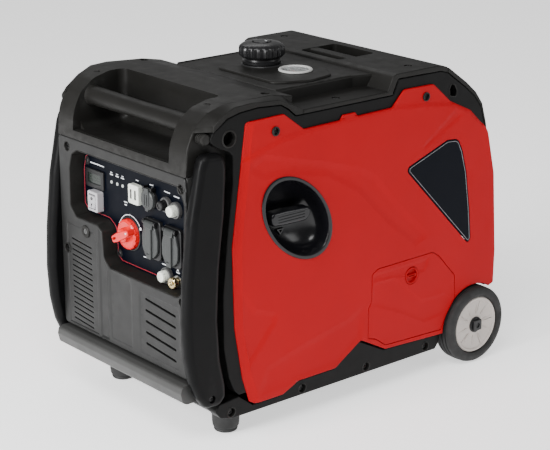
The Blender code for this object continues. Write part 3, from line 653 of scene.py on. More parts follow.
RED_OUTLINE = [(-201, 454, 5), (-213, 370, 40), (-225, 285, 40), (-222, 169, 40), (-209, 92, 30),
    (-197, 54, 3), (-188, 49, 4), (-138, 49, 8), (-108, 62, 8), (-38, 62, 8), (12, 93, 8),
    (62, 66, 8), *[(*p, 0) for p in arc(WHEEL, ARCH_R, 181, 57, 16)], (292, 118, 3), (293, 171, 30),
    (284, 297, 40), (267, 368, 30), (229, 404, 14), (186, 424, 10), (150, 455, 10), (91, 456, 10),
    (68, 433, 8), (1, 432, 2), (-4, 438, 2.5), (-27, 438, 2.5), (-32, 431, 2), (-99, 430, 8),
    (-135, 457, 8), (-196, 456, 4)]
FRAME_OUTLINE = [(-214, 68, 2), (-222, 76, 8), (-232, 99, 20), (-240, 143, 30), (-240, 220, 30),
    (-232, 300, 40), (-222, 375, 20), (-222, 414, 5), (-228, 420, 4), (-237, 424, 4),
    (-246, 428, 4), (-253, 432, 4), (-258, 437, 4), (-259, 443, 4), (-255, 449, 3), (-230, 465, 12),
    (-209, 470, 12), (-178, 472, 12), (-138, 469, 10), (-125, 461, 5), (-112, 450, 4), (72, 450, 4),
    (82, 472, 4), (167, 471, 6), (181, 467, 6), (219, 440, 8), (240, 423, 8), (254, 405, 10),
    (263, 377, 20), (280, 297, 30), (288, 200, 30), (289, 128, 3),
    *[(*p, 0) for p in arc(WHEEL, WHEEL_R + 2.2, 60, 174, 14)], (62, 68, 6), (12, 95, 6),
    (-38, 68, 6), (-108, 68, 4), (-138, 68, 4)]
FRAME_OPENING = [(-196, 100), (-206, 280), (-192, 400), (-120, 405), (-90, 412), (60, 412),
    (200, 392), (240, 360), (262, 240), (262, 150), (205, 132), (160, 95), (60, 90), (12, 108),
    (-38, 88)]
INLAY_OUTLINE = [(95, 337, 6), (180, 366, 6), (202, 364, 12), (212, 345, 20), (222, 310, 40),
    (231, 252, 60), (236, 203, 5), (231, 196, 4)]
SERVICE_OUTLINE = [(26, 92, 2), (26, 139, 3), (32, 149, 3), (32, 190, 5), (44, 196, 4),
    (155, 197, 5), (168, 189, 4), (204, 150, 5), (206, 111, 5), (190, 90, 10), (178, 68, 3),
    (62, 73, 4), (40, 88, 4)]
PLATE_OUTLINE = [(103, 373, 8), (115, 366, 6), (121, 346, 14), (122, 290, 8), (110, 279, 8),
    (57, 279, 8), (44, 271, 8), (41, 231, 10), (29, 222, 8), (-128, 222, 12), (-138, 231, 8),
    (-144, 352, 16), (-135, 373, 12)]
SERVICE_KNOB = (113.0, 170.0)
BOWL_R = 62.0
BOWL_BACK = -131.0
HOUSING_Z, DECK_Z, LEDGE_Z, SEAM_Z = 392.0, 474.0, 457.0, 451.0
HANDLE_PIVOT = (-259.0, 404.0)
HANDLE_STOP = (-264.5, 442.0)
ARM_IN, ARM_OUT = 151.5, 173.5
ARM_SCREW = (-266.0, 78.0)
BAR = (-252.0, 450.0)
CAP = (-17.0, 19.0)
GAUGE = (-8.0, -46.0)
CRANK = (10.0, 190.0)
REEL_R = 45.0
WHEEL_IN, WHEEL_OUT, HUB_R, AXLE_R = 148.0, 183.0, 42.0, 7.0
BASE_SCREWS = [-228.0, -98.0, 27.0, 150.0]
DISPLAY, ECO, USB = (88.0, 334.0), (83.0, 303.0), (-13.0, 335.0)
DC_SOCKET, DC_BREAKER = (-46.0, 335.0), (-82.0, 336.0)
AC_BREAKERS = [(-104.0, 333.0), (-81.0, 234.0)]
SOCKETS = [(-51.0, 279.0), (-97.0, 279.0)]
DIAL, GROUND = (6.0, 272.0), (-103.0, 230.0)
# the recoil bowl is an oval that leans forward and down
OVAL_LONG, OVAL_SHORT, OVAL_SHIFT = 1.19, 0.76, (3.6, -3.0)
FRAME_HOLE = (-228.0, 438.0)
FRAME_SLOT = [(187, 431), (199, 428.5), (201.5, 436), (197, 446), (190, 449), (186, 442)]
PANEL_SCREWS = [(-151.0, 436.0), (134.0, 439.0)]
FRONT_LINE = [(-189, 452), (-201, 370), (-212, 285), (-209, 169), (-197, 98), (-186, 66)]
FRONT_STRIP = [(-187, 470), *FRONT_LINE, (-180, 40), (-260, 40), (-260, 470)]
# shallow fields of the red panels: (polygon, depth, slope width)
RED_FIELDS = [
    # upper flange with the screw tabs
    ([(-260, 480), (-260, 398), (-206, 403), (-171, 412), (-134, 421), (-54, 428), (74, 430),
      (126, 426), (192, 416), (222, 402), (252, 376), (300, 420), (300, 480)], 1.7, 5.0),
    # shallow valley that runs to the service cover
    ([(-206, 394), (-172, 408), (-128, 396), (-60, 378), (4, 358), (36, 342), (80, 292),
      (150, 226), (120, 214), (60, 262), (0, 322), (-60, 356), (-140, 372), (-176, 372)], 1.1, 9.0),
    # lower front facets
    ([(-216, 232), (-186, 190), (-146, 176), (-150, 160), (-204, 100), (-214, 150)], 1.5, 8.0),
    ([(-120, 60), (-30, 64), (14, 96), (22, 150), (-20, 132), (-96, 118), (-168, 100),
      (-186, 60)], 1.0, 10.0),
    # rear corner
    ([(196, 412), (214, 400), (132, 358), (126, 366)], 0.9, 5.0),
]
FASCIA_SCREWS = [(129, 377), (-140, 374), (137, 222), (-138, 214)]
EXHAUST = (60.0, 215.0)
SHOULDER_SCREW, SHOULDER_DIMPLE = (-142, 138), (-236, 128)
MEMBER_Z = 480                               # top of the rear carrying member
TOP_SCREWS = [(-20, 146, LEDGE_Z), (-20, -146, LEDGE_Z), (128, 138, MEMBER_Z),
    (128, -138, MEMBER_Z)]
REAR_SCREWS = [(-138, 160), (138, 160), (-132, 372), (132, 372)]


def edge_sections(low, high, r_low, r_high, steps=4):
    """(inset, coordinate) sections of a prism whose two rims are rounded."""
    out = 1.0 if high > low else -1.0
    angles = [math.radians(90.0 * k / steps) for k in range(steps + 1)]
    first = [(r_low * (1 - math.sin(a)), low + out * r_low * (1 - math.cos(a))) for a in angles]
    last = [(r_high * (1 - math.cos(a)), high - out * r_high * (1 - math.sin(a))) for a in angles]
    return (first if r_low else [(0.0, low)]) + (last if r_high else [(0.0, high)])


def add_loft(bm, outline, sections, axis):
    """A closed body through inset copies of one outline, given as (inset, coordinate) sections."""
    rings = [[bm.verts.new(place(u, v, at, axis)) for u, v in inset(outline, offset)]
        for offset, at in sections]
    bm.faces.new(rings[0][::-1])
    bm.faces.new(rings[-1])
    for a, b in zip(rings, rings[1:]):
        skin(bm, a, b)


def soft(name, outline, axis, low, high, r_low, r_high, mat, body, replaces=(),
        steps=4):
    bm = bmesh.new()
    add_loft(bm, outline, edge_sections(low, high, r_low, r_high, steps), axis)
    return add_piece(name, bm, mat, body, replaces)


def soft_tool(outline, axis, low, high, r_low=0.0, r_high=0.0):
    bm = bmesh.new()
    add_loft(bm, outline, edge_sections(low, high, r_low, r_high), axis)
    return tool(bm)


def cylinder_tool(axis, centre, radius, low, high, count=32):
    return prism_tool(circle(*centre, radius, count), axis, low, high)


def lathe_tool(profile, axis, centre, count=40, closed=False):
    bm = bmesh.new()
    add_lathe(bm, profile, axis, centre, count, closed)
    return tool(bm)


def box_outline(low_u, low_v, high_u, high_v, radius, steps=4):
    return rounded([(low_u, low_v), (high_u, low_v), (high_u, high_v), (low_u, high_v)], radius,
        steps)


def capsule(centre, half_length, radius, degrees=0.0, steps=6):
    """Outline of a slot with round ends."""
    cu, cv = centre
    right = arc((cu + half_length - radius, cv), radius, -90, 90, steps)
    left = arc((cu - half_length + radius, cv), radius, 90, 270, steps)
    return turned(right + left, centre, degrees)


def screw(name, axis, centre, head, seat, radius, body="root"):
    """A pan-head screw with a cross recess; head and seat are coordinates along the axis."""
    out = 1.0 if head > seat else -1.0
    bm = bmesh.new()
    profile = [(0, head), (radius * 0.62, head - out * radius * 0.03),
        (radius * 0.9, head - out * radius * 0.16), (radius, head - out * radius * 0.42),
        (radius, seat), (0, seat)]
    add_lathe(bm, profile, axis, centre, 28)
    obj = add_piece(name, bm, BLACK_STEEL, body)
    deep = head - out * radius * 0.38
    arms = []
    for angle in (20, 110):
        bar = turned(rectangle(*centre, radius * 0.58, radius * 0.13), centre, angle)
        arms.append(prism_tool(bar, axis, deep, head + out))
    return cut(obj, *arms)


def tube_along(name, points, radius, mat, body, count=10, closed=False):
    """A round tube through 3-D points in millimetres."""
    bm = bmesh.new()
    spine = [Vector(p) for p in points]
    rings = []
    normal = None
    for i, point in enumerate(spine):
        ahead = spine[(i + 1) % len(spine)] if closed or i + 1 < len(spine) else point
        behind = spine[i - 1] if closed or i else point
        tangent = (ahead - behind).normalized()
        if normal is None:
            normal = tangent.orthogonal().normalized()
        normal = (normal - tangent * normal.dot(tangent)).normalized()
        side = tangent.cross(normal)
        rings.append([bm.verts.new(point + radius * (normal * math.cos(math.tau * k / count) + side
            * math.sin(math.tau * k / count))) for k in range(count)])
    pairs = list(zip(rings, rings[1:])) + ([(rings[-1], rings[0])] if closed else [])
    for a, b in pairs:
        skin(bm, a, b)
    if not closed:
        bm.faces.new(rings[0][::-1])
        bm.faces.new(rings[-1])
    return add_piece(name, bm, mat, body)


# ---- side shells

def oval(u, v):
    """The recoil opening is a leaning oval: a circle stretched along one diagonal."""
    du, dv = u - BOWL[0], v - BOWL[1]
    along, across = (du - dv) * OVAL_LONG / 2, (du + dv) * OVAL_SHORT / 2
    return BOWL[0] + OVAL_SHIFT[0] + along + across, BOWL[1] + OVAL_SHIFT[1] - along + across


def side_shell(sign, name):
    """Black side frame, coloured panel with its raised fields, screws and the dark inlay."""
    face, out = sign * HALF_WIDTH, sign * FRAME_OUT
    line = rounded(FRAME_OUTLINE, 4)
    windows = [rounded(FRAME_OPENING, 10), circle(*FRAME_HOLE, 10.5, 32), rounded(FRAME_SLOT, 3)]
    plate(f"side_frame_shell_{name}", line, "Y", out, sign * FRAME_IN, FRAME_BLACK, "root",
        [f"side_frame_{name}"], windows, 1.8, 12.0, None, (), 4, 0.8)
    frame_collar(sign, name, FRAME_HOLE, 10.2, 12.4)
    tube_along(f"frame_slot_rim_{name}", [(u, sign * (FRAME_OUT - 0.2), v)
        for u, v in inset(rounded(FRAME_SLOT, 3), -0.4)], 0.9, BLACK, "root", 8, True)
    holes = [circle(*spot, 5.6, 24) for spot in PANEL_SCREWS]
    holes.append(inset(rounded(INLAY_OUTLINE, 5), -0.5))
    if sign < 0:
        holes.append([oval(*p) for p in circle(*BOWL, BOWL_R + 0.5, 72)])
        holes.append(inset(rounded(SERVICE_OUTLINE, 3), -0.6))
    relief = embossed(RED_FIELDS)

    def panel_relief(points):
        """The bevelled strip down the front edge, plus the raised fields."""
        strip = np.clip(signed_distance(points, FRONT_STRIP) / 9.0, 0, 1) * 3.4
        return np.minimum(strip + relief(points), 3.8)

    plate(f"side_panel_shell_{name}", rounded(RED_OUTLINE, 4), "Y", face, sign * PANEL_BACK, RED,
        "root", [f"side_panel_{name}"], holes, 1.6, 6.0, panel_relief,
        [FRONT_LINE] + field_lines(RED_FIELDS), 5, 0.8)
    for spot, place_name in zip(PANEL_SCREWS, ("front", "rear")):
        screw(f"panel_screw_{name}_{place_name}", "Y", spot, sign * (HALF_WIDTH - 2.2),
            sign * PANEL_BACK, 4.6)
        lathe(f"panel_eyelet_{name}_{place_name}", [(5.0, sign * PANEL_BACK),
            (5.0, face + sign * 0.3), (5.6, face + sign * 0.5), (6.6, face + sign * 0.1),
            (6.6, face - sign * 1.5), (5.5, sign * PANEL_BACK)], "Y", spot, BLACK, "root")
    soft(f"inlay_plate_{name}", rounded(INLAY_OUTLINE, 5), "Y", sign * (HALF_WIDTH - 1.2),
        sign * (HALF_WIDTH + 0.5), 0.0, 0.6, NAVY, "root", [f"side_inlay_{name}"])
    rim = inset(rounded(INLAY_OUTLINE, 5), 2.6)
    tube_along(f"inlay_line_{name}", [(u, sign * (HALF_WIDTH + 0.35), v) for u, v in rim], 0.42,
        GREY_LINE, "root", 8, True)


def frame_collar(sign, name, centre, inner, outer):
    """A raised collar round the hole in the side frame."""
    low, high = sign * (FRAME_OUT - 6), sign * (FRAME_OUT + 0.8)
    lathe(f"frame_collar_{name}", [(inner, low), (inner, high), (inner + 0.6, high + sign * 0.4),
        (outer - 0.5, high), (outer, high - sign * 0.6), (outer, sign * (FRAME_OUT - 0.5)),
        (10.6, low)], "Y", centre, BLACK, "root", count=40)


# ---- service cover

def service_cover():
    outline = rounded(SERVICE_OUTLINE, 3)
    facets = [([(36, 190), (150, 191), (140, 170), (100, 172), (34, 178)], 0.8, 4.0),
        ([(30, 142), (90, 116), (142, 88), (186, 92), (202, 112), (186, 126), (135, 128), (78, 176),
        (34, 176)], 0.7, 5.0)]
    plate("service_cover_shell", outline, "Y", -HALF_WIDTH, -PANEL_BACK, RED, "service_cover",
        ["service_cover"], [circle(*SERVICE_KNOB, 13.4, 48)], 1.0, 5.0,
        embossed(facets), field_lines(facets), 4, 0.8)
    knob = lathe("service_knob", [(0, -168.6), (9.6, -168.6), (10.4, -169.4), (10.4, -171.6),
        (11.2, -172.4), (12.4, -172.2), (12.8, -171.4), (12.8, -158), (5, -158), (5, -152),
        (0, -152)], "Y", SERVICE_KNOB, RED, "service_latch", ["service_latch"])
    bar = soft_tool(capsule(SERVICE_KNOB, 9.8, 2.4), "Y", -167.5, -171.9, 0.0, 0.8)
    slot = prism_tool(capsule(SERVICE_KNOB, 6.5, 0.9), "Y", -169.6, -174)
    combine(knob, [("UNION", bar), ("DIFFERENCE", slot)])


# ---- front housing and top

def rear_rails():
    """Rails that carry the line of the rear member down over the frames' rear edge."""
    line = rounded([(182.6, 467.2, 0), (182.6, 474.6, 1.2), (222, 446.5, 10), (243, 428.5, 10),
        (257.5, 409, 10), (267, 378, 20), (277, 328, 0), (274.2, 328, 0), (263.9, 377.6, 20),
        (254.6, 405.6, 8), (240.6, 423.4, 10), (219.6, 440.4, 8)], 5)
    for sign, name in SIDES:
        soft(f"rear_rail_{name}", line, "Y", sign * 151.6, sign * (FRAME_OUT - 0.2), 0.0, 0.9,
            BLACK, "root")


def front_housing():
    """Top front moulding with the carrying pocket; its shoulders cap the side frames."""
    profile = rounded([(FASCIA_X, HOUSING_Z, 0), (-286, 430, 60), (-272, 458, 30), (-250, 474, 30),
        (-222, 481, 40), (-140, 481, 60), (-104, DECK_Z, 0), (-104, HOUSING_Z, 0)], 5, 6)
    body = soft("front_housing_shell", profile, "Y", -BODY_IN, BODY_IN, 2.2, 2.2, BLACK, "root",
        ["front_housing"])
    seam = [(-99, 451), (-111, 451), (-124.3, 462.2), (-137.5, 470), (-178, 473), (-209, 471),
        (-231, 466)]
    crown = [(-254.5, 451), (-253, 459), (-239, 470), (-219, 479), (-191, 480.5), (-140, 477),
        (-123, 469), (-99, 458)]
    inner_crown = [(-277, 451), (-272, 457.5), (-250, 473.6), (-222, 480.6), (-191, 480.8),
        (-140, 480.2), (-124, 476.6), (-99, 460)]
    lugs = []
    for sign, _ in SIDES:
        bm = bmesh.new()
        rings = [(146, inner_crown, 0.0), (151, inner_crown, 0.0), (FRAME_OUT - 1.6, crown, 0.0),
            (FRAME_OUT - 0.3, crown, 1.0)]
        loops = [[bm.verts.new((u, sign * y, v - drop)) for u, v in edge]
            + [bm.verts.new((u, sign * y, v)) for u, v in seam] for y, edge, drop in rings]
        bm.faces.new(loops[0])
        bm.faces.new(loops[-1][::-1])
        for a, b in zip(loops, loops[1:]):
            skin(bm, a, b)
        bmesh.ops.triangulate(bm, faces=[f for f in bm.faces if len(f.verts) == 4])
        lugs.append(("UNION", tool(bm)))
    pocket = bevelled(box_tool((-340, -113, 404), (-197, 113, 560)), 12.0, 6)
    walls = prism_tool([(-340, 404), (-274, 404), (-274, 560), (-340, 560)], "Y", -113, 113)
    under = [("DIFFERENCE", prism_tool([(-193, HOUSING_Z - 5), (-193, 476), (-112, 470),
        (-112, HOUSING_Z - 5)], "Y", -114, 114)), ("DIFFERENCE",
        box_tool((-283, -114, HOUSING_Z - 5), (-190, 114, 400)))]
    for sign, _ in SIDES:
        low, high = sorted((sign * 118, sign * 146))
        under.append(("DIFFERENCE", prism_tool([(-280, HOUSING_Z - 5), (-280, 430), (-250, 462),
            (-225, 472), (-112, 470), (-112, HOUSING_Z - 5)], "Y", low, high)))
        under.append(("DIFFERENCE", cylinder_tool("Y", HANDLE_PIVOT, 6.4,
            *sorted((sign * 140, sign * 155)), 24)))
        for x, y in (SHOULDER_DIMPLE, SHOULDER_SCREW):
            under.append(("DIFFERENCE", cylinder_tool("Z", (x, sign * y), 6.5, 477.6, 490, 28)))
    combine(body, lugs + [("DIFFERENCE", pocket), ("DIFFERENCE", walls)] + under)
    bevelled(body, 1.5, 3, 50)
    for sign, name in SIDES:
        screw(f"shoulder_screw_{name}", "Z", (SHOULDER_SCREW[0], sign * SHOULDER_SCREW[1]), 479.4,
            476.6, 4.6)
        stop = lathe(f"handle_stop_{name}", [(0, sign * 164.6), (6.0, sign * 164.6),
            (7.4, sign * 163.4), (8.0, sign * 152), (8.0, sign * 150.2), (0, sign * 150.2)], "Y",
            HANDLE_STOP, BLACK, "root", count=32)
        for k in range(3):
            groove = lathe_tool([(7.2, sign * (153.4 + 3.2 * k)), (9.5, sign * (153.0 + 3.2 * k)),
                (9.5, sign * (154.6 + 3.2 * k)), (7.2, sign * (154.2 + 3.2 * k))], "Y", HANDLE_STOP,
                32, True)
            cut(stop, groove)
    soft("pocket_floor_seam", box_outline(-284.5, -112.4, -282.9, 112.4, 0.7), "Z", 403.4, 404.5,
        0.0, 0.4, BLACK, "root")


def grip_bar():
    """Carrying bar, slightly waisted along its length, with collars at its ends."""
    profile = [(0, -112.8), (14.6, -112.8), (15.0, -112.0), (14.4, -109.5), (13.8, -106.5)]
    profile += [(13.2 + 0.5 * math.cos(math.tau * k / 24), -104.0 + 208.0 * k / 24)
        for k in range(25)]
    profile += [(13.8, 106.5), (14.4, 109.5), (15.0, 112.0), (14.6, 112.8), (0, 112.8)]
    lathe("grip_bar_moulding", profile, "Y", BAR, BLACK, "root", ["grip_bar"], 48)


def top_cover():
    """Top cover: tank deck, side ledges, rear carrying member with its finger slot, filler pad."""
    out, inn = FRAME_OUT, BODY_IN
    ledge = soft("top_cover_shell", box_outline(-98, -out, 72, out, 3), "Z", SEAM_Z, LEDGE_Z, 0.0,
        2.0, BLACK, "root", ["top_cover"])
    deck = soft_tool(rounded([(-103, -115, 4), (40, -115, 4), (77, -128, 4), (77, 128, 4),
        (40, 115, 4), (-103, 115, 4)], 4), "Z", SEAM_Z + 0.7, DECK_Z, 0.0, 2.6)
    slope = rounded([(58, SEAM_Z + 0.5, 0), (66, 466, 6), (71, 477, 6), (78, 480, 8),
        (167, 480, 14), (182, 475, 3), (181.4, 467.3, 0), (167, 471.3, 6), (81, 472.8, 5),
        (70.5, 452, 2)], 4)
    member = soft_tool(slope, "Y", -out + 0.1, out - 0.1, 1.6, 1.6)
    middle = prism_tool([(72.6, SEAM_Z + 0.3), (179.6, SEAM_Z + 0.3), (179.6, 471), (81, 475)], "Y",
        -inn, inn)
    skirt = soft_tool(rounded([(-80, 50, 14), (-80, -80, 20), (-64, -92, 16), (-30, -106, 20),
        (16, -98, 20), (36, -64, 24), (36, 50, 14)], 12, 6), "Z", DECK_Z - 3, DECK_Z + 3.2, 0.0,
        2.4)
    join(ledge, deck, middle, member, skirt)
    cuts = [box_tool((-93, -111, SEAM_Z - 5), (66, 111, DECK_Z - 4)),
        box_tool((84, -inn + 4, SEAM_Z - 5), (176, inn - 4, 467)),
        soft_tool(box_outline(79, -45, 150, 45, 7), "Z", 459, 492),
        cylinder_tool("Z", CAP, 28, 440, 490, 48), cylinder_tool("Z", GAUGE, 22.6, 440, 490, 48)]
    for x, y, level in TOP_SCREWS:
        cuts.append(cylinder_tool("Z", (x, y), 6.2, level - 2.2, level + 5, 28))
    cut(ledge, *cuts)
    bridge = soft_tool(rounded([(96, 471, 2), (98, 479.4, 4), (116, 479.4, 4), (118, 471, 2)], 2),
        "Y", -47, 47)
    join(ledge, bridge)
    bevelled(ledge, 1.2, 3, 48)
    for x, y, level in TOP_SCREWS:
        screw(f"top_screw_{'front' if x < 0 else 'rear'}_{'left' if y > 0 else 'right'}", "Z",
            (x, y), level - 0.4, level - 3.0, 4.4)
    for sign, name in SIDES:
        tube_along(f"deck_rim_{name}", [(-100, sign * 112.4, DECK_Z + 0.2),
            (38, sign * 112.4, DECK_Z + 0.2)], 1.2, BLACK, "root")


# ---- fuel cap and gauge

def fuel_cap():
    cx, cy = CAP
    ribs, per_rib = 24, 6
    bm = bmesh.new()
    profile = [(26.0, 479.6, 0), (28.4, 480.2, 0), (28.8, 483.0, 0), (27.0, 484.6, 0),
        (26.6, 487.0, 0), (29.4, 488.6, 0), (31.8, 490.6, 0.4), (32.8, 492.4, 1.0),
        (33.0, 500.0, 1.0), (32.6, 503.4, 0.9), (31.2, 505.8, 0.4), (28.6, 507.6, 0),
        (24.0, 509.0, 0), (18.0, 509.9, 0), (14.6, 510.2, 0), (14.0, 509.6, 0), (14.0, 506.2, 0),
        (0.0, 506.2, 0), (0.0, 500.0, 0), (25.0, 499.0, 0), (26.0, 497.0, 0)]
    count = ribs * per_rib
    rings = []
    for radius, height, rib in profile:
        if radius == 0:
            rings.append([bm.verts.new((cx, cy, height))])
            continue
        ring = []
        for k in range(count):
            phase = (k % per_rib) / per_rib
            depth = 1.9 * rib * (0.5 - 0.5 * math.cos(math.tau * phase)) ** 0.6
            r = radius + 0.9 * rib - depth
            a = math.tau * k / count
            ring.append(bm.verts.new((cx + r * math.cos(a), cy + r * math.sin(a), height)))
        rings.append(ring)
    for a, b in zip(rings, rings[1:] + rings[:1]):
        skin(bm, a, b)
    add_piece("fuel_cap_ribbed", bm, CAP_BLACK, "fuel_cap", ["fuel_cap"])
    vent = lathe("vent_knob_shell", [(0, 506.5), (12.6, 506.5), (13.0, 507.2), (13.0, 510.0),
        (12.2, 511.0), (9.6, 511.6), (0, 511.9)], "Z", CAP, CAP_BLACK, "vent_knob", ["vent_knob"],
        40)
    notches = [cylinder_tool("Z", around(CAP, 14.6, math.radians(30 + 60 * k)), 3.0, 505, 513, 20)
        for k in range(6)]
    cut(vent, *notches)
    marker = bmesh.new()
    add_prism(marker, turned([(cx - 1.0, cy - 8), (cx + 1.0, cy - 8), (cx, cy - 4.4)], CAP, 35),
        "Z", 511.2, 511.95)
    add_piece("vent_pointer", marker, INK, "vent_knob")
    lathe("filler_collar", [(24.2, 474.0), (31.0, 474.0), (31.0, 477.4), (30.0, 478.8),
        (27.4, 479.2), (26.6, 478.6), (24.2, 478.4)], "Z", CAP, DARK, "root", count=56)


def fuel_gauge():
    x, y = GAUGE
    lathe("gauge_ring", [(21.4, 467.0), (21.4, 477.3), (24.4, 477.3), (25.0, 478.0), (24.9, 479.0),
        (24.0, 480.0), (21.6, 480.3), (20.2, 479.6), (19.4, 477.6), (19.4, 467.0)], "Z", GAUGE,
        SILVER, "root", ["gauge_bezel"], 56)
    lathe("gauge_face", [(0, 467.0), (19.4, 467.0), (19.4, 474.2), (18.2, 474.9), (0, 474.9)], "Z",
        GAUGE, GAUGE_FACE, "root", count=48)
    lathe("gauge_lens", [(0, 478.3), (10, 478.2), (17, 477.6), (19.6, 477.0), (19.6, 478.0),
        (18.6, 479.0), (14, 479.8), (7, 480.3), (0, 480.4)], "Z", GAUGE, LENS, "root", count=48)
    marks = bmesh.new()
    for k in range(9):
        a = math.radians(30 + 15 * k)
        long = 3.4 if k % 4 == 0 else 2.0
        mid = around(GAUGE, 17 - long / 2, a)
        add_prism(marks, turned(rectangle(*mid, long / 2, 0.35), mid, math.degrees(a)), "Z", 474.7,
            475.1)
    add_piece("gauge_marks", marks, DARK, "root")
    needle = bmesh.new()
    add_prism(needle, rounded([(x - 1.3, y - 5, 1), (x + 1.3, y - 5, 1), (x + 0.5, y + 14, 0.2),
        (x - 0.5, y + 14, 0.2)], 0.3, 2), "Z", 475.5, 476.1)
    add_piece("gauge_pointer", needle, DIAL_RED, "gauge_needle", ["gauge_needle"])


# ---- fascia and control plate

def fascia():
    """Front panel with its recess, latch, ribbed lower part and louvres."""
    low, high = corners("front_fascia")
    outline = box_outline(low[1], low[2], high[1], high[2], 7)
    grooves = fascia_relief()
    plate("front_fascia_shell", outline, "X", FASCIA_X, FASCIA_X + 4.2, FASCIA_GREY, "root",
        ["front_fascia"], [inset(rounded(PLATE_OUTLINE, 8), -4.0)]
        + [capsule_slit(*slit) for slit in louvres()] + [circle(*spot, 6.4, 24)
        for spot in FASCIA_SCREWS], 1.6, 6.5, embossed(grooves), field_lines(grooves), 4, 0.7)
    wall = bmesh.new()
    line = rounded(PLATE_OUTLINE, 8)
    add_loft(wall, line, [(-4.6, FASCIA_X + 3.8), (-4.2, FASCIA_X + 0.6), (-3.6, FASCIA_X - 0.1),
        (-2.9, FASCIA_X + 0.1), (-2.2, FASCIA_X + 1.0), (0.2, PLATE_X - 0.3), (0.2, PLATE_X + 5.0),
        (-2.8, PLATE_X + 5.0)], "X")
    # an open sleeve: the two end caps are bridged into one closed ring
    caps = [f for f in wall.faces if len(f.verts) == len(line)]
    bmesh.ops.delete(wall, geom=caps, context="FACES_ONLY")
    loops = [e for e in wall.edges if len(e.link_faces) == 1]
    bmesh.ops.bridge_loops(wall, edges=loops)
    add_piece("recess_wall", wall, BLACK, "root")
    for sign, name in SIDES:
        edge = sign * (BODY_IN - 1)
        soft(f"fascia_flange_{name}", box_outline(FASCIA_X + 3.4, 104.2, FASCIA_X + 84,
            HOUSING_Z - 0.8, 1.0), "Y", edge - sign * 3, edge, 0.4, 0.4, GREY, "root")
    for index, spot in enumerate(FASCIA_SCREWS):
        lathe(f"fascia_eyelet_{index}", [(6.2, FASCIA_X + 4.0), (6.2, FASCIA_X + 0.2),
            (6.8, FASCIA_X - 0.3), (8.2, FASCIA_X + 0.1), (8.2, FASCIA_X + 1.4),
            (7.4, FASCIA_X + 4.0)], "X", spot, BLACK, "root", count=32)
        screw(f"fascia_screw_{index}", "X", spot, FASCIA_X + 2.2, FASCIA_X + 5.0, 5.2)
    fascia_latch()
    lip, back = low[2] + 2.0, -250.0
    apron = [(FASCIA_X + 5, lip), (back, lip), (back, 62.1), (back + 3, 62.1), (back + 3, lip + 3),
        (FASCIA_X + 5, lip + 3)]
    soft("front_apron", apron, "Y", -146.5, 146.5, 0.0, 0.0, DARK, "root")


def louvres():
    """Long slits on the right, fine ones on the left: (centre, length, tilt, width)."""
    right = [((-88, 193 - 16.5 * k), 70, 5.5, 2.4) for k in range(5)]
    left = [((101, 238 - 8.2 * k), 50, 4.5, 0.9) for k in range(16)]
    return right + left


def capsule_slit(centre, length, tilt, width):
    return capsule(centre, length / 2, width / 2 + 0.25, tilt, 3)


def fascia_relief():
    """Raised and sunk fields of the fascia face: (outline, depth, slope)."""
    return [
        # left access door, a hair below the frame round it
        ([(136, 262), (66, 262), (62, 248), (62, 108), (136, 108)], 0.9, 1.6),
        # channel between the door and the centre field
        ([(57, 272), (46, 268), (42, 228), (36, 218), (36, 107), (57, 107)], 1.4, 3.0),
        # centre field with the raised step to its right
        ([(33, 217), (-16, 217), (-22, 205), (-22, 112), (30, 112)], 0.8, 2.2),
        ([(-40, 205), (-130, 205), (-134, 196), (-134, 118), (-130, 112),
            (-40, 112)], 0.6, 2.0),
    ]


def fascia_latch():
    """Round key latch on the left door, with a short slot in its barrel."""
    y, z = 88.0, 259.0
    lathe("latch_collar", [(4.6, FASCIA_X + 1.0), (4.6, FASCIA_X - 1.2), (5.2, FASCIA_X - 1.7),
        (8.2, FASCIA_X - 1.7), (9.4, FASCIA_X - 0.8), (9.6, FASCIA_X + 1.0)], "X", (y, z), BLACK,
        "root", count=40)
    barrel = lathe("latch_barrel", [(0, FASCIA_X - 0.6), (4.0, FASCIA_X - 0.6),
        (4.5, FASCIA_X + 0.2), (4.5, FASCIA_X + 1.2), (0, FASCIA_X + 1.2)], "X", (y, z), COLLAR,
        "root", count=32)
    cut(barrel, prism_tool(capsule((y, z), 2.6, 0.5, 90), "X", FASCIA_X - 2, FASCIA_X + 0.1))


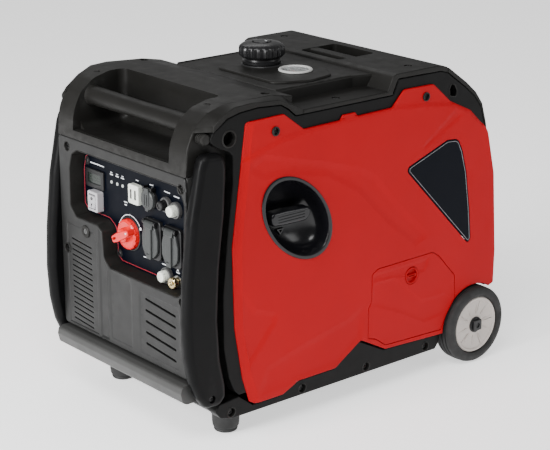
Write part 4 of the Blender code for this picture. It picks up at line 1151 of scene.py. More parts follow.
def control_plate():
    """Film-covered plate with its holes, screws, border line and generic marks."""
    edge = inset(rounded(PLATE_OUTLINE, 8), 0.9)
    holes = [circle(*DC_SOCKET, 12.2, 32), circle(*DC_BREAKER, 8.2, 28),
        circle(*AC_BREAKERS[0], 9.2, 28), circle(*AC_BREAKERS[1], 9.2, 28), circle(*DIAL, 7.2, 28),
        circle(*GROUND, 4.2, 20), rectangle(*DISPLAY, 21, 13), rectangle(*ECO, 11, 14),
        rectangle(*USB, 11, 13), rectangle(*SOCKETS[0], 19, 28), rectangle(*SOCKETS[1], 19, 28)]
    plate("control_plate_film", edge, "X", PLATE_X, PLATE_X + 3, NAVY, "root", ["control_plate"],
        holes, 0.5, 9.0, None, (), 3, 0.3)
    border = [(PLATE_X - 0.05, u, v) for u, v in inset(edge, 3.6)]
    tube_along("plate_border", border, 0.5, LINE_RED, "root", 6, True)
    for index, spot in enumerate(((109, 357), (109, 297), (34, 236), (-134, 348))):
        screw(f"plate_screw_{index}", "X", spot, PLATE_X - 1.4, PLATE_X + 0.5, 3.6)
        lathe(f"plate_washer_{index}", [(3.4, PLATE_X + 0.2), (3.4, PLATE_X - 0.5),
            (6.4, PLATE_X - 0.35), (6.6, PLATE_X + 0.2)], "X", spot, DARK, "root", count=32)
    marks = bmesh.new()

    def mark(outline):
        add_prism(marks, outline, "X", PLATE_X - 0.28, PLATE_X + 0.3)

    for y in (35, 49, 22):                        # indicator symbols above their lamps
        mark(rectangle(y, 349, 3.6, 0.8))
        mark(rectangle(y, 352, 2.4, 0.6))
    mark(rectangle(84, 356, 17, 0.8))             # heading bar over the display
    for y, z, half in ((-13, 354, 3.0), (-46, 355, 4.0), (-82, 353, 6.5), (-103, 351, 6.0),
            (-28, 246, 4.0), (-72, 247, 4.5), (-103, 243, 4.0), (16, 312, 2.6), (16, 316, 3.8)):
        mark(rectangle(y, z, half, 0.7))
    mark(turned([(-103, 249.5), (-100.4, 245.4), (-105.6, 245.4)], (-103, 247), 0))
    sweep = [around(DIAL, r, math.radians(a)) for r, step in ((27.6, 1), (26.6, -1))
        for a in (range(24, 152, 8) if step > 0 else range(144, 16, -8))]
    mark(sweep)
    for a, radius in ((152, 2.4), (20, 2.0), (88, 1.4)):
        spot = around(DIAL, 27.1, math.radians(a))
        mark(circle(*spot, radius, 20))
    add_piece("plate_marks", marks, INK, "root")
    for index, y in enumerate((22, 35, 49)):
        lathe(f"indicator_lamp_{index}", [(0, PLATE_X - 1.6), (1.4, PLATE_X - 1.4),
            (2.3, PLATE_X - 0.7), (2.6, PLATE_X + 0.4), (0, PLATE_X + 0.4)], "X", (y, 338), LAMP,
            "root", count=24)


# ---- control fittings

def block(name, centre, half_y, half_z, proud, mat, replaces=(), edge=1.2, deep=10.0,
        radius=2.2):
    """A rounded fitting that stands proud of the plate."""
    return soft(name, rectangle(*centre, half_y, half_z, radius), "X", PLATE_X + deep,
        PLATE_X - proud, 0.0, edge, mat, "root", replaces)


def display_and_switch():
    y, z = DISPLAY
    case = block("display_case", DISPLAY, 22, 14, 3.2, DARK, ["display_module"],
        deep=14, radius=2.5)
    cut(case, soft_tool(rectangle(y, z, 16, 7.4, 1.2), "X", PLATE_X - 1.6, PLATE_X - 6))
    soft("display_window", rectangle(y, z, 16.4, 7.8, 1.2), "X", PLATE_X + 0.5, PLATE_X - 1.9, 0.0,
        0.3, SCREEN, "root")
    segments = bmesh.new()
    for digit in range(4):
        centre = y + 10.0 - 6.6 * digit
        for dy, dz, hy, hz in ((0, 4.2, 1.7, 0.35), (0, 0, 1.7, 0.35), (0, -4.2, 1.7, 0.35),
                (2.0, 2.1, 0.35, 1.7), (-2.0, 2.1, 0.35, 1.7), (2.0, -2.1, 0.35, 1.7),
                (-2.0, -2.1, 0.35, 1.7)):
            add_prism(segments, rectangle(centre + dy, z + dz, hy, hz), "X", PLATE_X - 2.0,
                PLATE_X - 1.7)
    add_piece("display_segments", segments, SEGMENT, "root")

    y, z = ECO
    frame_body = block("eco_switch_frame", ECO, 12, 15, 11.2, SILVER_CLEAR, ["eco_switch_housing"],
        1.4, 16, 2.5)
    cut(frame_body, soft_tool(rectangle(y, z, 8.2, 11.2, 1.0), "X", PLATE_X + 8, PLATE_X - 20))
    side = rounded([(-281.6, z - 9.2, 1.0), (-279.4, z, 8), (-280.4, z + 9.0, 1.0),
        (-270.0, z + 9.6, 1.0), (-262.0, z + 4.0, 1.0), (-262.0, z - 4.0, 1.0),
        (-270.0, z - 9.6, 1.0)], 1, 3)
    soft("eco_rocker_cap", side, "Y", y - 7.6, y + 7.6, 0.7, 0.7, SILVER_CLEAR, "eco_rocker",
        ["eco_rocker"])
    ticks = bmesh.new()
    add_prism(ticks, rectangle(y, z - 5, 0.5, 2.2), "X", -281.25, -279.6)
    add_lathe(ticks, [(1.5, -281.0), (2.2, -281.0), (2.2, -279.8), (1.5, -279.8)], "X", (y, z + 5),
        24)
    add_piece("eco_rocker_marks", ticks, DARK, "eco_rocker")


def usb_block():
    y, z = USB
    body = block("usb_body", USB, 12, 14, 8.2, WHITE, ["usb_socket"], 1.4, 14, 3)
    ports = [soft_tool(rectangle(y + dy, z, 2.3, 7.0, 0.4), "X", PLATE_X + 4, PLATE_X - 12)
        for dy in (-5, 5)]
    cut(body, *ports)
    for index, dy in enumerate((-5, 5)):
        soft(f"usb_contact_{index}", rectangle(y + dy + 0.7, z, 0.6, 5.4, 0.2), "X", PLATE_X + 4.5,
            PLATE_X - 6.4, 0.0, 0.2, STEEL, "root")
        shell = soft(f"usb_shield_{index}", rectangle(y + dy, z, 2.2, 6.9, 0.4), "X", PLATE_X + 3.8,
            PLATE_X - 8.0, 0.0, 0.1, STEEL, "root")
        cut(shell, soft_tool(rectangle(y + dy, z, 1.8, 6.5, 0.3), "X", PLATE_X + 5, PLATE_X - 12))


def dc_outlet():
    y, z = DC_SOCKET
    lathe("dc_barrel", [(9.4, PLATE_X + 26), (9.4, PLATE_X - 4.6), (10.0, PLATE_X - 5.2),
        (13.0, PLATE_X - 5.2), (14.2, PLATE_X - 4.2), (14.6, PLATE_X - 0.3), (11.4, PLATE_X - 0.3),
        (11.4, PLATE_X + 26)], "X", DC_SOCKET, DARK, "root", ["dc_socket"], 48)
    cap = lathe("dc_cover", [(0, PLATE_X - 9.2), (9, PLATE_X - 9.6), (12.6, PLATE_X - 9.4),
        (14.0, PLATE_X - 8.4), (14.4, PLATE_X - 5.6), (8.8, PLATE_X - 5.6), (8.8, PLATE_X - 1.0),
        (0, PLATE_X - 1.0)], "X", DC_SOCKET, FLAP, "dc_socket_cap", ["dc_socket_cap"],
        48)
    ear = soft_tool(rounded([(y - 6, z + 8, 1), (y + 6, z + 8, 1), (y + 5, z + 17.4, 3),
        (y - 5, z + 17.4, 3)], 2), "X", PLATE_X - 5.6, PLATE_X - 10.4, 0.0, 1)
    tab = soft_tool(rounded([(y - 3.4, z - 16.2, 2), (y + 3.4, z - 16.2, 2), (y + 4.4, z - 9, 1),
        (y - 4.4, z - 9, 1)], 2), "X", PLATE_X - 5.6, PLATE_X - 9.8, 0.0, 1)
    ribs = [("UNION", soft_tool(rectangle(y + d, z, 1.0, 8.5, 0.9), "X", PLATE_X - 8,
        PLATE_X - 10.3, 0.0, 0.4)) for d in (-5, 0, 5)]
    combine(cap, [("UNION", ear), ("UNION", tab)] + ribs)
    for dy in (-8.5, 8.5):
        soft(f"dc_hinge_{'left' if dy > 0 else 'right'}", box_outline(PLATE_X - 8.6, z + 13.6,
            PLATE_X - 0.4, z + 18.6, 1.6), "Y", y + dy - 1.8, y + dy + 1.8, 0.5, 0.5, DARK, "root")


def breakers():
    buttons = [("dc_breaker", DC_BREAKER, 7.0, DARK, "dark_plastic"),
        ("ac_breaker_1", AC_BREAKERS[0], 8.0, WHITE, "white_plastic"),
        ("ac_breaker_2", AC_BREAKERS[1], 8.0, WHITE, "white_plastic")]
    for name, centre, radius, mat, finish in buttons:
        cap = lathe(f"{name}_button", [(0, PLATE_X - 14.8), (radius - 2.6, PLATE_X - 15.0),
            (radius - 1.0, PLATE_X - 14.4), (radius - 0.3, PLATE_X - 13.0),
            (radius, PLATE_X - 11.0), (radius, PLATE_X + 10), (0, PLATE_X + 10)], "X", centre, mat,
            name, [name], 40)
        dimple = lathe_tool([(0, PLATE_X - 17), (radius * 0.55, PLATE_X - 17),
            (radius * 0.5, PLATE_X - 14.3), (0, PLATE_X - 13.9)], "X", centre, 32)
        flutes = [dimple]
        for k in range(10):
            a = math.tau * k / 10
            spot = around(centre, radius + 0.7, a)
            flutes.append(cylinder_tool("X", spot, 1.3, PLATE_X - 17, PLATE_X - 9, 12))
        cut(cap, *flutes)
        lathe(f"{name}_collar", [(radius + 0.6, PLATE_X + 2), (radius + 0.6, PLATE_X - 5.6),
            (radius + 1.6, PLATE_X - 6.2), (radius + 3.2, PLATE_X - 5.6),
            (radius + 3.8, PLATE_X - 3.8), (radius + 3.8, PLATE_X - 0.2),
            (radius + 0.9, PLATE_X - 0.2), (radius + 0.9, PLATE_X + 2)], "X", centre, COLLAR,
            "root", count=40)


def engine_dial():
    """Rotary engine switch: fluted disc with a cranked lever."""
    y, z = DIAL
    disc = lathe("engine_dial_disc", [(0, PLATE_X - 8.8), (15.5, PLATE_X - 8.8),
        (18.5, PLATE_X - 9.4), (20.4, PLATE_X - 8.6), (21.8, PLATE_X - 6.8), (22.0, PLATE_X - 1.0),
        (6, PLATE_X - 1.0), (6, PLATE_X + 16), (0, PLATE_X + 16)], "X", DIAL, DIAL_RED,
        "engine_dial", ["engine_dial"], 64)
    tilt = -26.0
    grip = [(y - 21.5, z - 4.2), (y - 12, z - 5.4), (y + 8, z - 6.4), (y + 20.5, z - 5.4),
        (y + 21.4, z + 4.6), (y + 8, z + 6.4), (y - 12, z + 5.4), (y - 21.5, z + 4.2)]
    bar = soft_tool(turned(rounded(grip, 3), DIAL, tilt), "X", PLATE_X - 8, PLATE_X - 19.8, 0.0,
        1.8)
    hub_boss = lathe_tool([(0, PLATE_X - 8), (11, PLATE_X - 8), (10, PLATE_X - 15),
        (8, PLATE_X - 17.0), (0, PLATE_X - 17.4)], "X", DIAL, 40)
    eye = turned(rectangle(y + 14, z, 4.4, 1.9, 1.2), DIAL, tilt)
    flutes = []
    for k in range(16):
        a = math.tau * (k + 0.5) / 16
        spot = around(DIAL, 23.0, a)
        flutes.append(("DIFFERENCE", cylinder_tool("X", spot, 2.0, PLATE_X - 12, PLATE_X - 3.0,
            14)))
    combine(disc, flutes + [("UNION", hub_boss), ("UNION", bar),
        ("DIFFERENCE", prism_tool(eye, "X", PLATE_X - 22, PLATE_X - 14))])
    pointer = bmesh.new()
    tip = turned([(y - 20.0, z), (y - 15.5, z - 1.6), (y - 15.5, z + 1.6)], DIAL, tilt)
    add_prism(pointer, tip, "X", PLATE_X - 19.95, PLATE_X - 19.0)
    add_piece("engine_dial_pointer", pointer, INK, "engine_dial")
    lathe("dial_surround", [(22.6, PLATE_X + 0.2), (22.6, PLATE_X - 1.2), (23.2, PLATE_X - 1.7),
        (24.6, PLATE_X - 1.2), (24.9, PLATE_X + 0.2)], "X", DIAL, DARK, "root", count=64)


def ac_outlets():
    for index, centre in enumerate(SOCKETS):
        y, z = centre
        number = index + 1
        body = block(f"ac_outlet_{number}", centre, 20, 29, 5.2, DARK, [f"ac_socket_{number}"],
            1.6, 24, 7)
        well = lathe_tool([(0, PLATE_X + 16), (16, PLATE_X + 16), (16, PLATE_X - 4.4),
            (17.2, PLATE_X - 5.4), (17.2, PLATE_X - 9), (0, PLATE_X - 9)], "X", (y, z - 1), 48)
        core = lathe_tool([(0, PLATE_X + 18), (7, PLATE_X + 18), (7, PLATE_X - 2.4),
            (6.4, PLATE_X - 3.0), (0, PLATE_X - 3.0)], "X", (y, z - 1), 40)
        pins = [("DIFFERENCE", cylinder_tool("X", (y + d, z - 1), 1.8, PLATE_X - 8, PLATE_X + 10,
            20)) for d in (-4, 4)]
        combine(body, [("DIFFERENCE", well), ("UNION", core)] + pins)
        # round sprung flap with its centre strap and hinge hood
        lid = rounded([(y - 18, z + 4, 12), (y - 17.4, z - 16, 14), (y - 7, z - 26, 10),
            (y + 7, z - 26, 10), (y + 17.4, z - 16, 14), (y + 18, z + 4, 12), (y + 12, z + 22, 10),
            (y - 12, z + 22, 10)], 6, 6)
        flap = soft(f"ac_flap_{number}", lid, "X", PLATE_X - 5.7, PLATE_X - 9.6, 0.3, 1.6, FLAP,
            f"socket_flap_{number}", [f"socket_flap_{number}"])
        strap = soft_tool(rounded([(y - 5.6, z - 27.6, 2), (y + 5.6, z - 27.6, 2),
            (y + 6.6, z + 24, 2), (y - 6.6, z + 24, 2)], 2), "X", PLATE_X - 6.5, PLATE_X - 12.2,
            0.0, 1.4)
        hood = soft_tool(rounded([(PLATE_X - 5.7, z + 15, 1), (PLATE_X - 5.7, z + 25, 2),
            (PLATE_X - 8.4, z + 27.8, 3), (PLATE_X - 11.6, z + 26, 3), (PLATE_X - 13.0, z + 17, 2)],
            2), "Y", y - 10, y + 10, 0.8, 0.8)
        combine(flap, [("UNION", strap), ("UNION", hood), ("DIFFERENCE",
            soft_tool(capsule((y, z - 20), 3.4, 0.9), "X", PLATE_X - 11.4, PLATE_X - 14))])
        for dy in (-12.4, 12.4):
            soft(f"ac_hinge_{number}_{'left' if dy > 0 else 'right'}",
                box_outline(PLATE_X - 11.4, z + 21.4, PLATE_X - 4.6, z + 28.0, 2.2), "Y",
                y + dy - 2.0, y + dy + 2.0, 0.5, 0.5, DARK, "root")


def ground_terminal():
    lathe("ground_stud_turned", [(0, PLATE_X - 16), (1.8, PLATE_X - 16),
        (2.6, PLATE_X - 15.2)] + [(2.6 - 0.35 * (k % 2), PLATE_X - 14.6 + 0.5 * k)
        for k in range(12)] + [(2.4, PLATE_X - 8), (2.4, PLATE_X + 10), (0, PLATE_X + 10)], "X",
        GROUND, BRASS, "root", ["ground_stud"], 28)
    nut = lathe("ground_nut_knurled", [(3.0, PLATE_X - 11.8), (6.8, PLATE_X - 12.0),
        (8.0, PLATE_X - 11.0), (8.0, PLATE_X - 6.4), (6.2, PLATE_X - 5.6), (6.2, PLATE_X - 3.2),
        (3.0, PLATE_X - 3.2)], "X", GROUND, BRASS, "ground_nut", ["ground_nut"], 48)
    bites = [cylinder_tool("X", around(GROUND, 8.5, math.tau * k / 12), 1.3, PLATE_X - 14,
        PLATE_X - 6.0, 10) for k in range(12)]
    cut(nut, *bites)
    lathe("ground_washer", [(3.2, PLATE_X - 0.2), (3.2, PLATE_X - 1.6), (9.2, PLATE_X - 1.6),
        (9.4, PLATE_X - 1.2), (9.4, PLATE_X - 0.2)], "X", GROUND, STEEL, "root", count=40)


# ---- pull handle

def handle():
    """Two bowed arms with a heavy front radius and the crossbar between their feet."""
    px, pz = HANDLE_PIVOT
    side = rounded([(px - 21.5, pz + 2, 40), (px - 15, pz + 19.5, 12), (px + 18.5, pz + 18, 13),
        (px + 24, pz - 2, 30), (-238, 340, 60), (-248, 262, 80), (-251.5, 190, 80), (-248, 130, 60),
        (-240, 94, 30), (-239, 75, 13), (-250, 63, 13), (-274, 64, 15), (-286, 80, 20),
        (-297, 105, 40), (-304.4, 142, 60), (-307.2, 190, 60), (-304.6, 250, 60), (-296, 330, 60)],
        20, 6)
    for sign, name in SIDES:
        inner, outer = sign * ARM_IN, sign * ARM_OUT
        out = sign
        bm = bmesh.new()
        nose = [math.radians(15 * k) for k in range(1, 6)]
        sections = [(8.8, inner), (8.0, inner + out * 0.1)]
        sections += [(9.0 * (1 - math.sin(a)), inner + out * 10.5 * (1 - math.cos(a)))
            for a in nose]
        sections += [(0.0, inner + out * 11.0)]
        sections += [(9.5 * (1 - math.cos(a)), outer - out * 9.5 * (1 - math.sin(a))) for a in nose]
        sections += [(8.8, outer - out * 0.1), (9.6, outer)]
        add_loft(bm, side, sections, "Y")
        arm = add_piece(f"handle_arm_shell_{name}", bm, ARM_BLACK, "pull_handle",
            [f"handle_arm_{name}"], sharp=40)
        combine(arm, [("DIFFERENCE", lathe_tool([(0, outer - out * 5), (5.2, outer - out * 5),
            (5.2, outer - out * 0.9), (6.6, outer + out * 2), (0, outer + out * 2)], "Y", ARM_SCREW,
            32)), ("UNION", cylinder_tool("Y", HANDLE_PIVOT, 6.0, *sorted((sign * 143, sign * 153)),
            28))], 40)
        screw(f"handle_screw_{name}", "Y", ARM_SCREW, outer - out * 2.6, outer - out * 5.2, 4.9,
            body="pull_handle")
    bar = rounded([(-299.5, 74, 6), (-303, 88, 6), (-301, 97, 5), (-292, 99.4, 6), (-270, 98, 6),
        (-262, 92, 4), (-262, 76, 4), (-270, 71, 4), (-292, 70.4, 8)], 5, 6)
    rod = soft("handle_crossbar_tube", bar, "Y", -ARM_IN + 0.4, ARM_IN - 0.4, 0.4, 0.4, BAR_GREY,
        "pull_handle", ["handle_crossbar"])
    rod.data.shade_smooth()


# ---- wheels

def wheels():
    for sign, name in SIDES:
        inner, outer = sign * WHEEL_IN, sign * WHEEL_OUT
        width = abs(outer - inner)
        r = WHEEL_R
        tread = [(HUB_R + 2.6, 3.0), (HUB_R + 4.0, 1.2), (HUB_R + 7.5, 0.3), (r - 9, 0.0),
            (r - 4.5, 0.9), (r - 1.6, 3.2), (r - 0.5, 6.0), (r - 0.3, 9.4), (r - 1.9, 9.9),
            (r - 1.9, 11.3), (r - 0.1, 11.8), (r, width / 2 - 1.0), (r - 1.9, width / 2 - 0.7),
            (r - 1.9, width / 2 + 0.7)]
        tread += [(radius, width - height) for radius, height in reversed(tread[:-2])]
        profile = [(radius, inner + sign * height) for radius, height in tread]
        tyre = lathe(f"tyre_treaded_{name}", profile, "Y", WHEEL, TYRE, f"{name}_wheel",
            [f"tyre_{name}"], 96)
        tyre.data.set_sharp_from_angle(angle=math.radians(50))
        face = outer - sign * 2.0
        hub = lathe(f"hub_shell_{name}", [(AXLE_R + 0.5, inner + sign * 5),
            (AXLE_R + 8, inner + sign * 5), (AXLE_R + 9, inner + sign * 12),
            (HUB_R - 8, inner + sign * 15), (HUB_R - 3, inner + sign * 4.5),
            (HUB_R + 2.2, inner + sign * 4), (HUB_R + 2.3, face - sign * 2.4),
            (HUB_R + 0.8, face - sign * 0.6), (HUB_R - 1.4, face - sign * 1.0),
            (HUB_R - 3.4, face - sign * 3.0), (HUB_R - 12, face - sign * 3.6),
            (AXLE_R + 13, face - sign * 4.4), (AXLE_R + 8.5, face - sign * 3.0),
            (AXLE_R + 6.5, face - sign * 2.6), (AXLE_R + 0.5, face - sign * 2.6)], "Y", WHEEL,
            HUB_SILVER, f"{name}_wheel", [f"hub_{name}"], 72)
        ribs = bmesh.new()
        for k in range(10):
            a = math.tau * (k + 0.3) / 10
            near, far = AXLE_R + 9.0, HUB_R - 3.5
            mid = around(WHEEL, (near + far) / 2, a)
            strip = turned(rectangle(*mid, (far - near) / 2, 0.8, 0.5, 2), mid, math.degrees(a))
            add_loft(ribs, strip, [(0.0, face - sign * 5.0), (0.0, face - sign * 3.2),
                (0.35, face - sign * 2.9)], "Y")
        join(hub, tool(ribs))
        grooves = []
        for k in range(5):
            a = math.tau * (k + 0.05) / 5
            mid = around(WHEEL, 28, a)
            strip = turned(rectangle(*mid, 9.5, 0.55), mid, math.degrees(a))
            grooves.append(prism_tool(strip, "Y", *sorted((face - sign * 4.8, face + sign * 2))))
        cut(hub, *grooves)
        lathe(f"hub_bush_{name}", [(AXLE_R + 0.5, face - sign * 3), (AXLE_R + 0.5, face),
            (AXLE_R + 4.2, face + sign * 0.2), (AXLE_R + 5.4, face - sign * 0.8),
            (AXLE_R + 5.6, face - sign * 3)], "Y", WHEEL, DARK, f"{name}_wheel", count=48)
        cap = soft(f"axle_cap_{name}", rectangle(*WHEEL, 8.6, 8.6, 2.4), "Y", sign * 180.6,
            sign * 184.8, 0.0, 1.0, DARK, "root", ())
        cut(cap, soft_tool(circle(*WHEEL, 4.4, 6), "Y", sign * 183.2, sign * 188))
    lathe("axle_rod", [(0, -180.4), (6.6, -180.4), (7.0, -179.6), (7.0, 179.6), (6.6, 180.4),
        (0, 180.4)], "Y", WHEEL, STEEL, "root", ["axle"], 40)


# ---- recoil starter

def recoil():
    x, z = BOWL
    face = -HALF_WIDTH
    profile = [(BOWL_R - 4.4, face + 0.4), (BOWL_R - 3.8, face - 1.0), (BOWL_R - 2.8, face - 1.9),
        (BOWL_R - 0.4, face - 2.2), (BOWL_R + 1.4, face - 1.9), (BOWL_R + 2.4, face - 1.0),
        (BOWL_R + 2.4, face - 0.4), (BOWL_R - 0.6, face - 0.4), (BOWL_R - 4.0, BOWL_BACK - 10),
        (BOWL_R - 14, BOWL_BACK), (6, BOWL_BACK), (6, BOWL_BACK - 3)]
    steps = 10
    profile += [(6 + (BOWL_R - 10.8) * math.sin(math.radians(90 * k / steps)) ** 0.9,
        face + 0.8 + (BOWL_BACK - 3 - face - 0.8) * math.cos(math.radians(90 * k / steps)) ** 0.55)
        for k in range(1, steps)]
    bowl = lathe("recoil_bowl", profile, "Y", BOWL, GLOSS, "root", ["recoil_bezel"],
        96)
    for vertex in bowl.data.vertices:
        u, v = oval(vertex.co.x / MM, vertex.co.z / MM)
        vertex.co.x, vertex.co.z = u * MM, v * MM
    mark = turned([(x, z - 34.0), (x + 6.5, z - 25.6), (x - 6.5, z - 25.6)], BOWL, 0)
    hollow = inset(mark, 1.6)
    bm = bmesh.new()
    add_prism(bm, mark, "Y", -140, -135.2)
    arrow = add_piece("pull_arrow", bm, GLOSS, "root")
    cut(arrow, prism_tool(hollow, "Y", -142, -133))
    grip_line = rounded([(x - 35, z - 11, 8), (x - 10, z - 13, 20), (x + 28, z - 13.6, 9),
        (x + 37, z - 6, 9), (x + 36, z + 6, 8), (x - 8, z + 8.4, 20), (x - 36.4, z + 8, 8)], 8, 6)
    grip = soft("recoil_grip_moulding", grip_line, "Y", -145.2, -163.6, 3.4, 4.2, GLOSS,
        "recoil_grip", ["recoil_grip"], 5)
    neck = lathe_tool([(0, -135.6), (4.2, -135.6), (4.8, -138), (5.0, -143), (7.5, -147),
        (0, -147)], "Y", BOWL, 32)
    ribs = [("DIFFERENCE", soft_tool(capsule((x, z - 2.5 + d), 24, 0.7), "Y", -162.4, -168))
        for d in (-4, 0, 4)]
    combine(grip, [("UNION", neck)] + ribs)
    cord = tube_along("starter_cord_run", rope_points(), 1.9, CORD, None, 12)
    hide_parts("starter_rope")
    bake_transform(cord)


def rope_points():
    """Straight back from the grip through the eyelet, then across to the reel."""
    x, z = BOWL
    cx, cz = CRANK
    toward = Vector((cx - x, cz - z))
    heading = math.atan2(toward.y, toward.x)
    lean = math.asin((REEL_R - 6) / toward.length)
    reach = math.sqrt(toward.length ** 2 - (REEL_R - 6) ** 2)
    run = Vector((math.cos(heading + lean), math.sin(heading + lean)))
    points = [(x, -134.6 + 0.8 * k, z) for k in range(8)]
    bend = 6.0
    for degrees in (15, 30, 45, 60, 75, 90):
        a = math.radians(degrees)
        spot = Vector((x, z)) + run * bend * (1 - math.cos(a))
        points.append((spot.x, -129 + bend * math.sin(a), spot.y))
    for k in range(1, 25):
        spot = Vector((x, z)) + run * (bend + (reach - bend) * k / 24)
        points.append((spot.x, -129 + bend, spot.y))
    return points


# ---- base, feet and rear

def base_tray():
    floor = soft("base_tray", box_outline(-236, -150.4, 176.3, 150.4, 3), "Z", 36.3, 44, 1.0, 0.0,
        FRAME_BLACK, "root", ["base_frame"])
    side = rounded([(-250, 63, 3), (-256, 53, 6), (-246, 41, 8), (-226, 36, 8), (172, 36, 3),
        (180, 46, 4), (179, 59, 2), (62, 64, 3), (12, 90, 3), (-38, 60, 4), (-108, 60, 3),
        (-138, 47, 3), (-190, 47, 3), (-214, 66, 3)], 4)
    steps = [("UNION", box_tool((170, -125.3, 36.15), (213.6, 125.3, 43.6)))]
    for sign, _ in SIDES:
        steps.append(("UNION", soft_tool(side, "Y", sign * 149, sign * 167, 0.0, 1.8)))
    front = rounded([(-255.6, 53, 3), (-236, 36.5, 6), (-229.5, 36.5, 1), (-229.5, 61.7, 1),
        (-249.8, 61.7, 3)], 2)
    rear = rounded([(206, 43, 1), (214, 36, 4), (266, 48, 5), (266, 84, 4), (228, 84, 4),
        (206, 60, 3)], 3)
    steps.append(("UNION", prism_tool(front, "Y", -149.5, 149.5)))
    steps.append(("UNION", soft_tool(rear, "Y", -126, 126, 1.5, 1.5)))
    steps.append(("DIFFERENCE", cylinder_tool("Y", WHEEL, 7.4, -140, 140, 40)))
    for sign, _ in SIDES:
        for x in BASE_SCREWS:
            steps.append(("DIFFERENCE", cylinder_tool("Y", (x, 46), 6.2,
                *sorted((sign * 161.5, sign * 175)), 28)))
    combine(floor, steps)
    for sign, name in SIDES:
        for index, x in enumerate(BASE_SCREWS):
            lathe(f"base_eyelet_{name}_{index}", [(6.0, sign * 162), (6.0, sign * 166.6),
                (6.6, sign * 167.6), (7.8, sign * 167.4), (8.2, sign * 166.6), (8.2, sign * 165.4),
                (6.4, sign * 162)], "Y", (x, 46), BLACK, "root", count=32)
            screw(f"base_screw_{name}_{index}", "Y", (x, 46), sign * 164.2, sign * 161.6, 5.0)
    for y, name in ((-125, "right"), (125, "left")):
        lathe(f"foot_pad_{name}", [(0, 0), (14.6, 0), (16.4, 1.0), (17.2, 3.4), (16.6, 5.2),
            (17.0, 6.4), (18.8, 8.0), (19.6, 14.0), (20, 30), (20, 35.6), (0, 35.6)], "Z",
            (-205, y), RUBBER, "root", [f"foot_{name}"], 48)


def rear_cover():
    """Curved rear grille with its slats, exhaust outlet and heat shield."""
    outer = rounded([(180.6, 467, 0), (219, 441, 20), (240, 424, 20), (255, 405, 20),
        (264, 377, 30), (281, 297, 60), (289, 200, 60), (289, 132, 3), (250, 128, 3),
        (250, 134, 0.5), (284, 138, 3), (284, 200, 60), (276, 296, 60), (259, 375, 30),
        (250, 402, 20), (236, 420, 20), (216, 436, 20), (180.6, 460, 0)], 5, 5)
    cover = soft("rear_cover_shell", outer, "Y", -BODY_IN, BODY_IN, 1.0, 1.0, BLACK, "root",
        ["rear_cover"])
    cuts = [cylinder_tool("X", EXHAUST, 24, 240, 320, 56)]
    for k in range(12):
        z = 160 + 13.5 * k
        for low, high in ((-128, -66), (-60, 2)):
            slot = box_outline(low, z, high, z + 6.5, 3.1, 4)
            cuts.append(prism_tool(slot, "X", 240, 320))
    for spot in REAR_SCREWS:
        cuts.append(cylinder_tool("X", spot, 5.6, 240, 320, 24))
    cut(cover, *cuts)
    for index, (y, z) in enumerate(REAR_SCREWS):
        x = 287.4 if z < 250 else 262.5
        lathe(f"rear_cup_{index}", [(0, x - 5.2), (5.4, x - 5.2), (5.4, x - 0.4), (6.2, x + 0.9),
            (7.4, x + 0.6), (7.4, x - 3.2), (6.0, x - 6.4), (0, x - 6.4)], "X", (y, z), DARK,
            "root", count=32)
        screw(f"rear_screw_{index}", "X", (y, z), x - 2.6, x - 5.0, 4.6)
    lathe("exhaust_shield", [(17.2, 262), (17.2, 284), (18.0, 285.4), (21.2, 288.0), (23.4, 287.6),
        (23.4, 285.0), (21.4, 284.6), (20.4, 282), (20.4, 262)], "X", EXHAUST, STEEL, "root",
        count=56)
    grid = bmesh.new()
    for k in range(-3, 4):
        half = math.sqrt(max(1.0, 11.8 ** 2 - (3.4 * k) ** 2))
        add_prism(grid, rectangle(EXHAUST[0] + 3.4 * k, EXHAUST[1], 0.45, half), "X", 280.6, 281.4)
    add_piece("spark_arrester_bars", grid, STEEL, "root")
    soft("rear_baffle", box_outline(-BODY_IN + 3, 112, BODY_IN - 3, 356, 6), "X", 236, 238.5, 0.4,
        0.4, DARK, "root")
    cut(bpy.data.objects["rear_baffle"], cylinder_tool("X", EXHAUST, 19.5, 230, 245, 40))


# ---- all pieces

for side in SIDES:
    side_shell(*side)
for build in (service_cover, front_housing, rear_rails, grip_bar, top_cover, fuel_cap, fuel_gauge,
        fascia, control_plate, display_and_switch, usb_block, dc_outlet, breakers, engine_dial,
        ac_outlets, ground_terminal, handle, wheels, recoil, base_tray, rear_cover):
    build()


# ---- even shading

def weighted(obj):
    """Keep large faces flat where they meet rounded rims."""
    modifier = obj.modifiers.new("Weighted", "WEIGHTED_NORMAL")
    modifier.keep_sharp = True
    modifier.weight = 80


for item in list(bpy.context.scene.objects):
    if item.type == "MESH" and item.name not in ("studio_floor", "starter_cord_run"):
        weighted(item)


# ---- studio

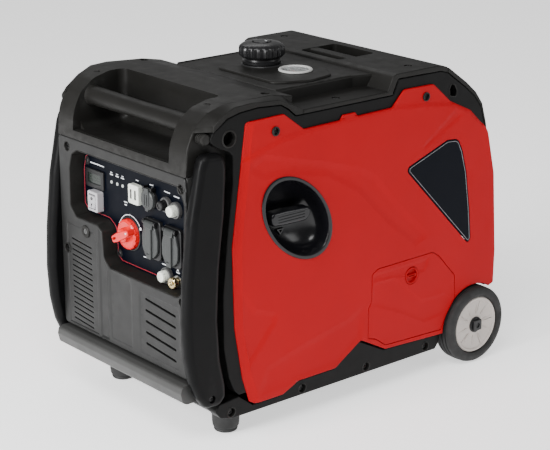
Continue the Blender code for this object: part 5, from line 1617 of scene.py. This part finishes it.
LENS_LENGTH = 112.5                          # millimetres, on a 36 mm sensor
CAMERA_AT = (-1.5943, -1.8755, 1.0275)       # metres
CAMERA_DOWN, CAMERA_TURN = 17.95, -40.23     # degrees below level and about Z
FLOOR_HALF = 9000.0                          # half the side of the floor


def studio():
    """Pale floor, soft light and the camera."""
    bm = bmesh.new()
    bm.faces.new([bm.verts.new((across * FLOOR_HALF, along * FLOOR_HALF, -0.5))
        for across, along in ((-1, -1), (1, -1), (1, 1), (-1, 1))])
    n = Nodes("studio_paper")
    n.feed("Base Color", n.mix(n.noise(3.0), (0.86, 0.86, 0.86), (0.88, 0.88, 0.88)))
    n.put("Roughness", 0.9)
    n.put("Emission Color", (1.0, 1.0, 1.0, 1.0))
    n.put("Emission Strength", 1.0)
    floor = add_piece("studio_floor", bm, n.mat, None)

    world = bpy.data.worlds.new("studio_world")
    bpy.context.scene.world = world
    world.use_nodes = True
    world.node_tree.nodes["Background"].inputs["Color"].default_value = (1.0, 1.0, 1.0, 1.0)
    world.node_tree.nodes["Background"].inputs["Strength"].default_value = 0.34

    def softbox(name, place_at, target, size_m, watts):
        light = bpy.data.lights.new(name, "AREA")
        light.shape = "RECTANGLE"
        light.size, light.size_y = size_m
        light.energy = watts
        obj = bpy.data.objects.new(name, light)
        bpy.context.scene.collection.objects.link(obj)
        obj.location = place_at
        aim = Vector(target) - Vector(place_at)
        obj.rotation_euler = aim.to_track_quat("-Z", "Y").to_euler()

    softbox("key_light", (-1.3, -1.0, 2.0), (-0.1, 0, 0.3), (1.1, 0.8), 40)
    softbox("side_light", (1.5, -2.2, 1.2), (0, 0, 0.25), (1.0, 1.2), 15)
    softbox("front_light", (-2.5, -0.1, 1.1), (-0.2, 0, 0.3), (0.8, 1.4), 105)
    softbox("rim_light", (0.6, 1.6, 2.0), (0, 0, 0.4), (1.6, 0.7), 7)

    camera = bpy.data.cameras.new("camera")
    camera.sensor_width = 36.0
    camera.lens = LENS_LENGTH
    view = bpy.data.objects.new("camera", camera)
    bpy.context.scene.collection.objects.link(view)
    view.location = CAMERA_AT
    view.rotation_euler = (math.radians(90 - CAMERA_DOWN), 0.0, math.radians(CAMERA_TURN))
    bpy.context.scene.camera = view


studio()
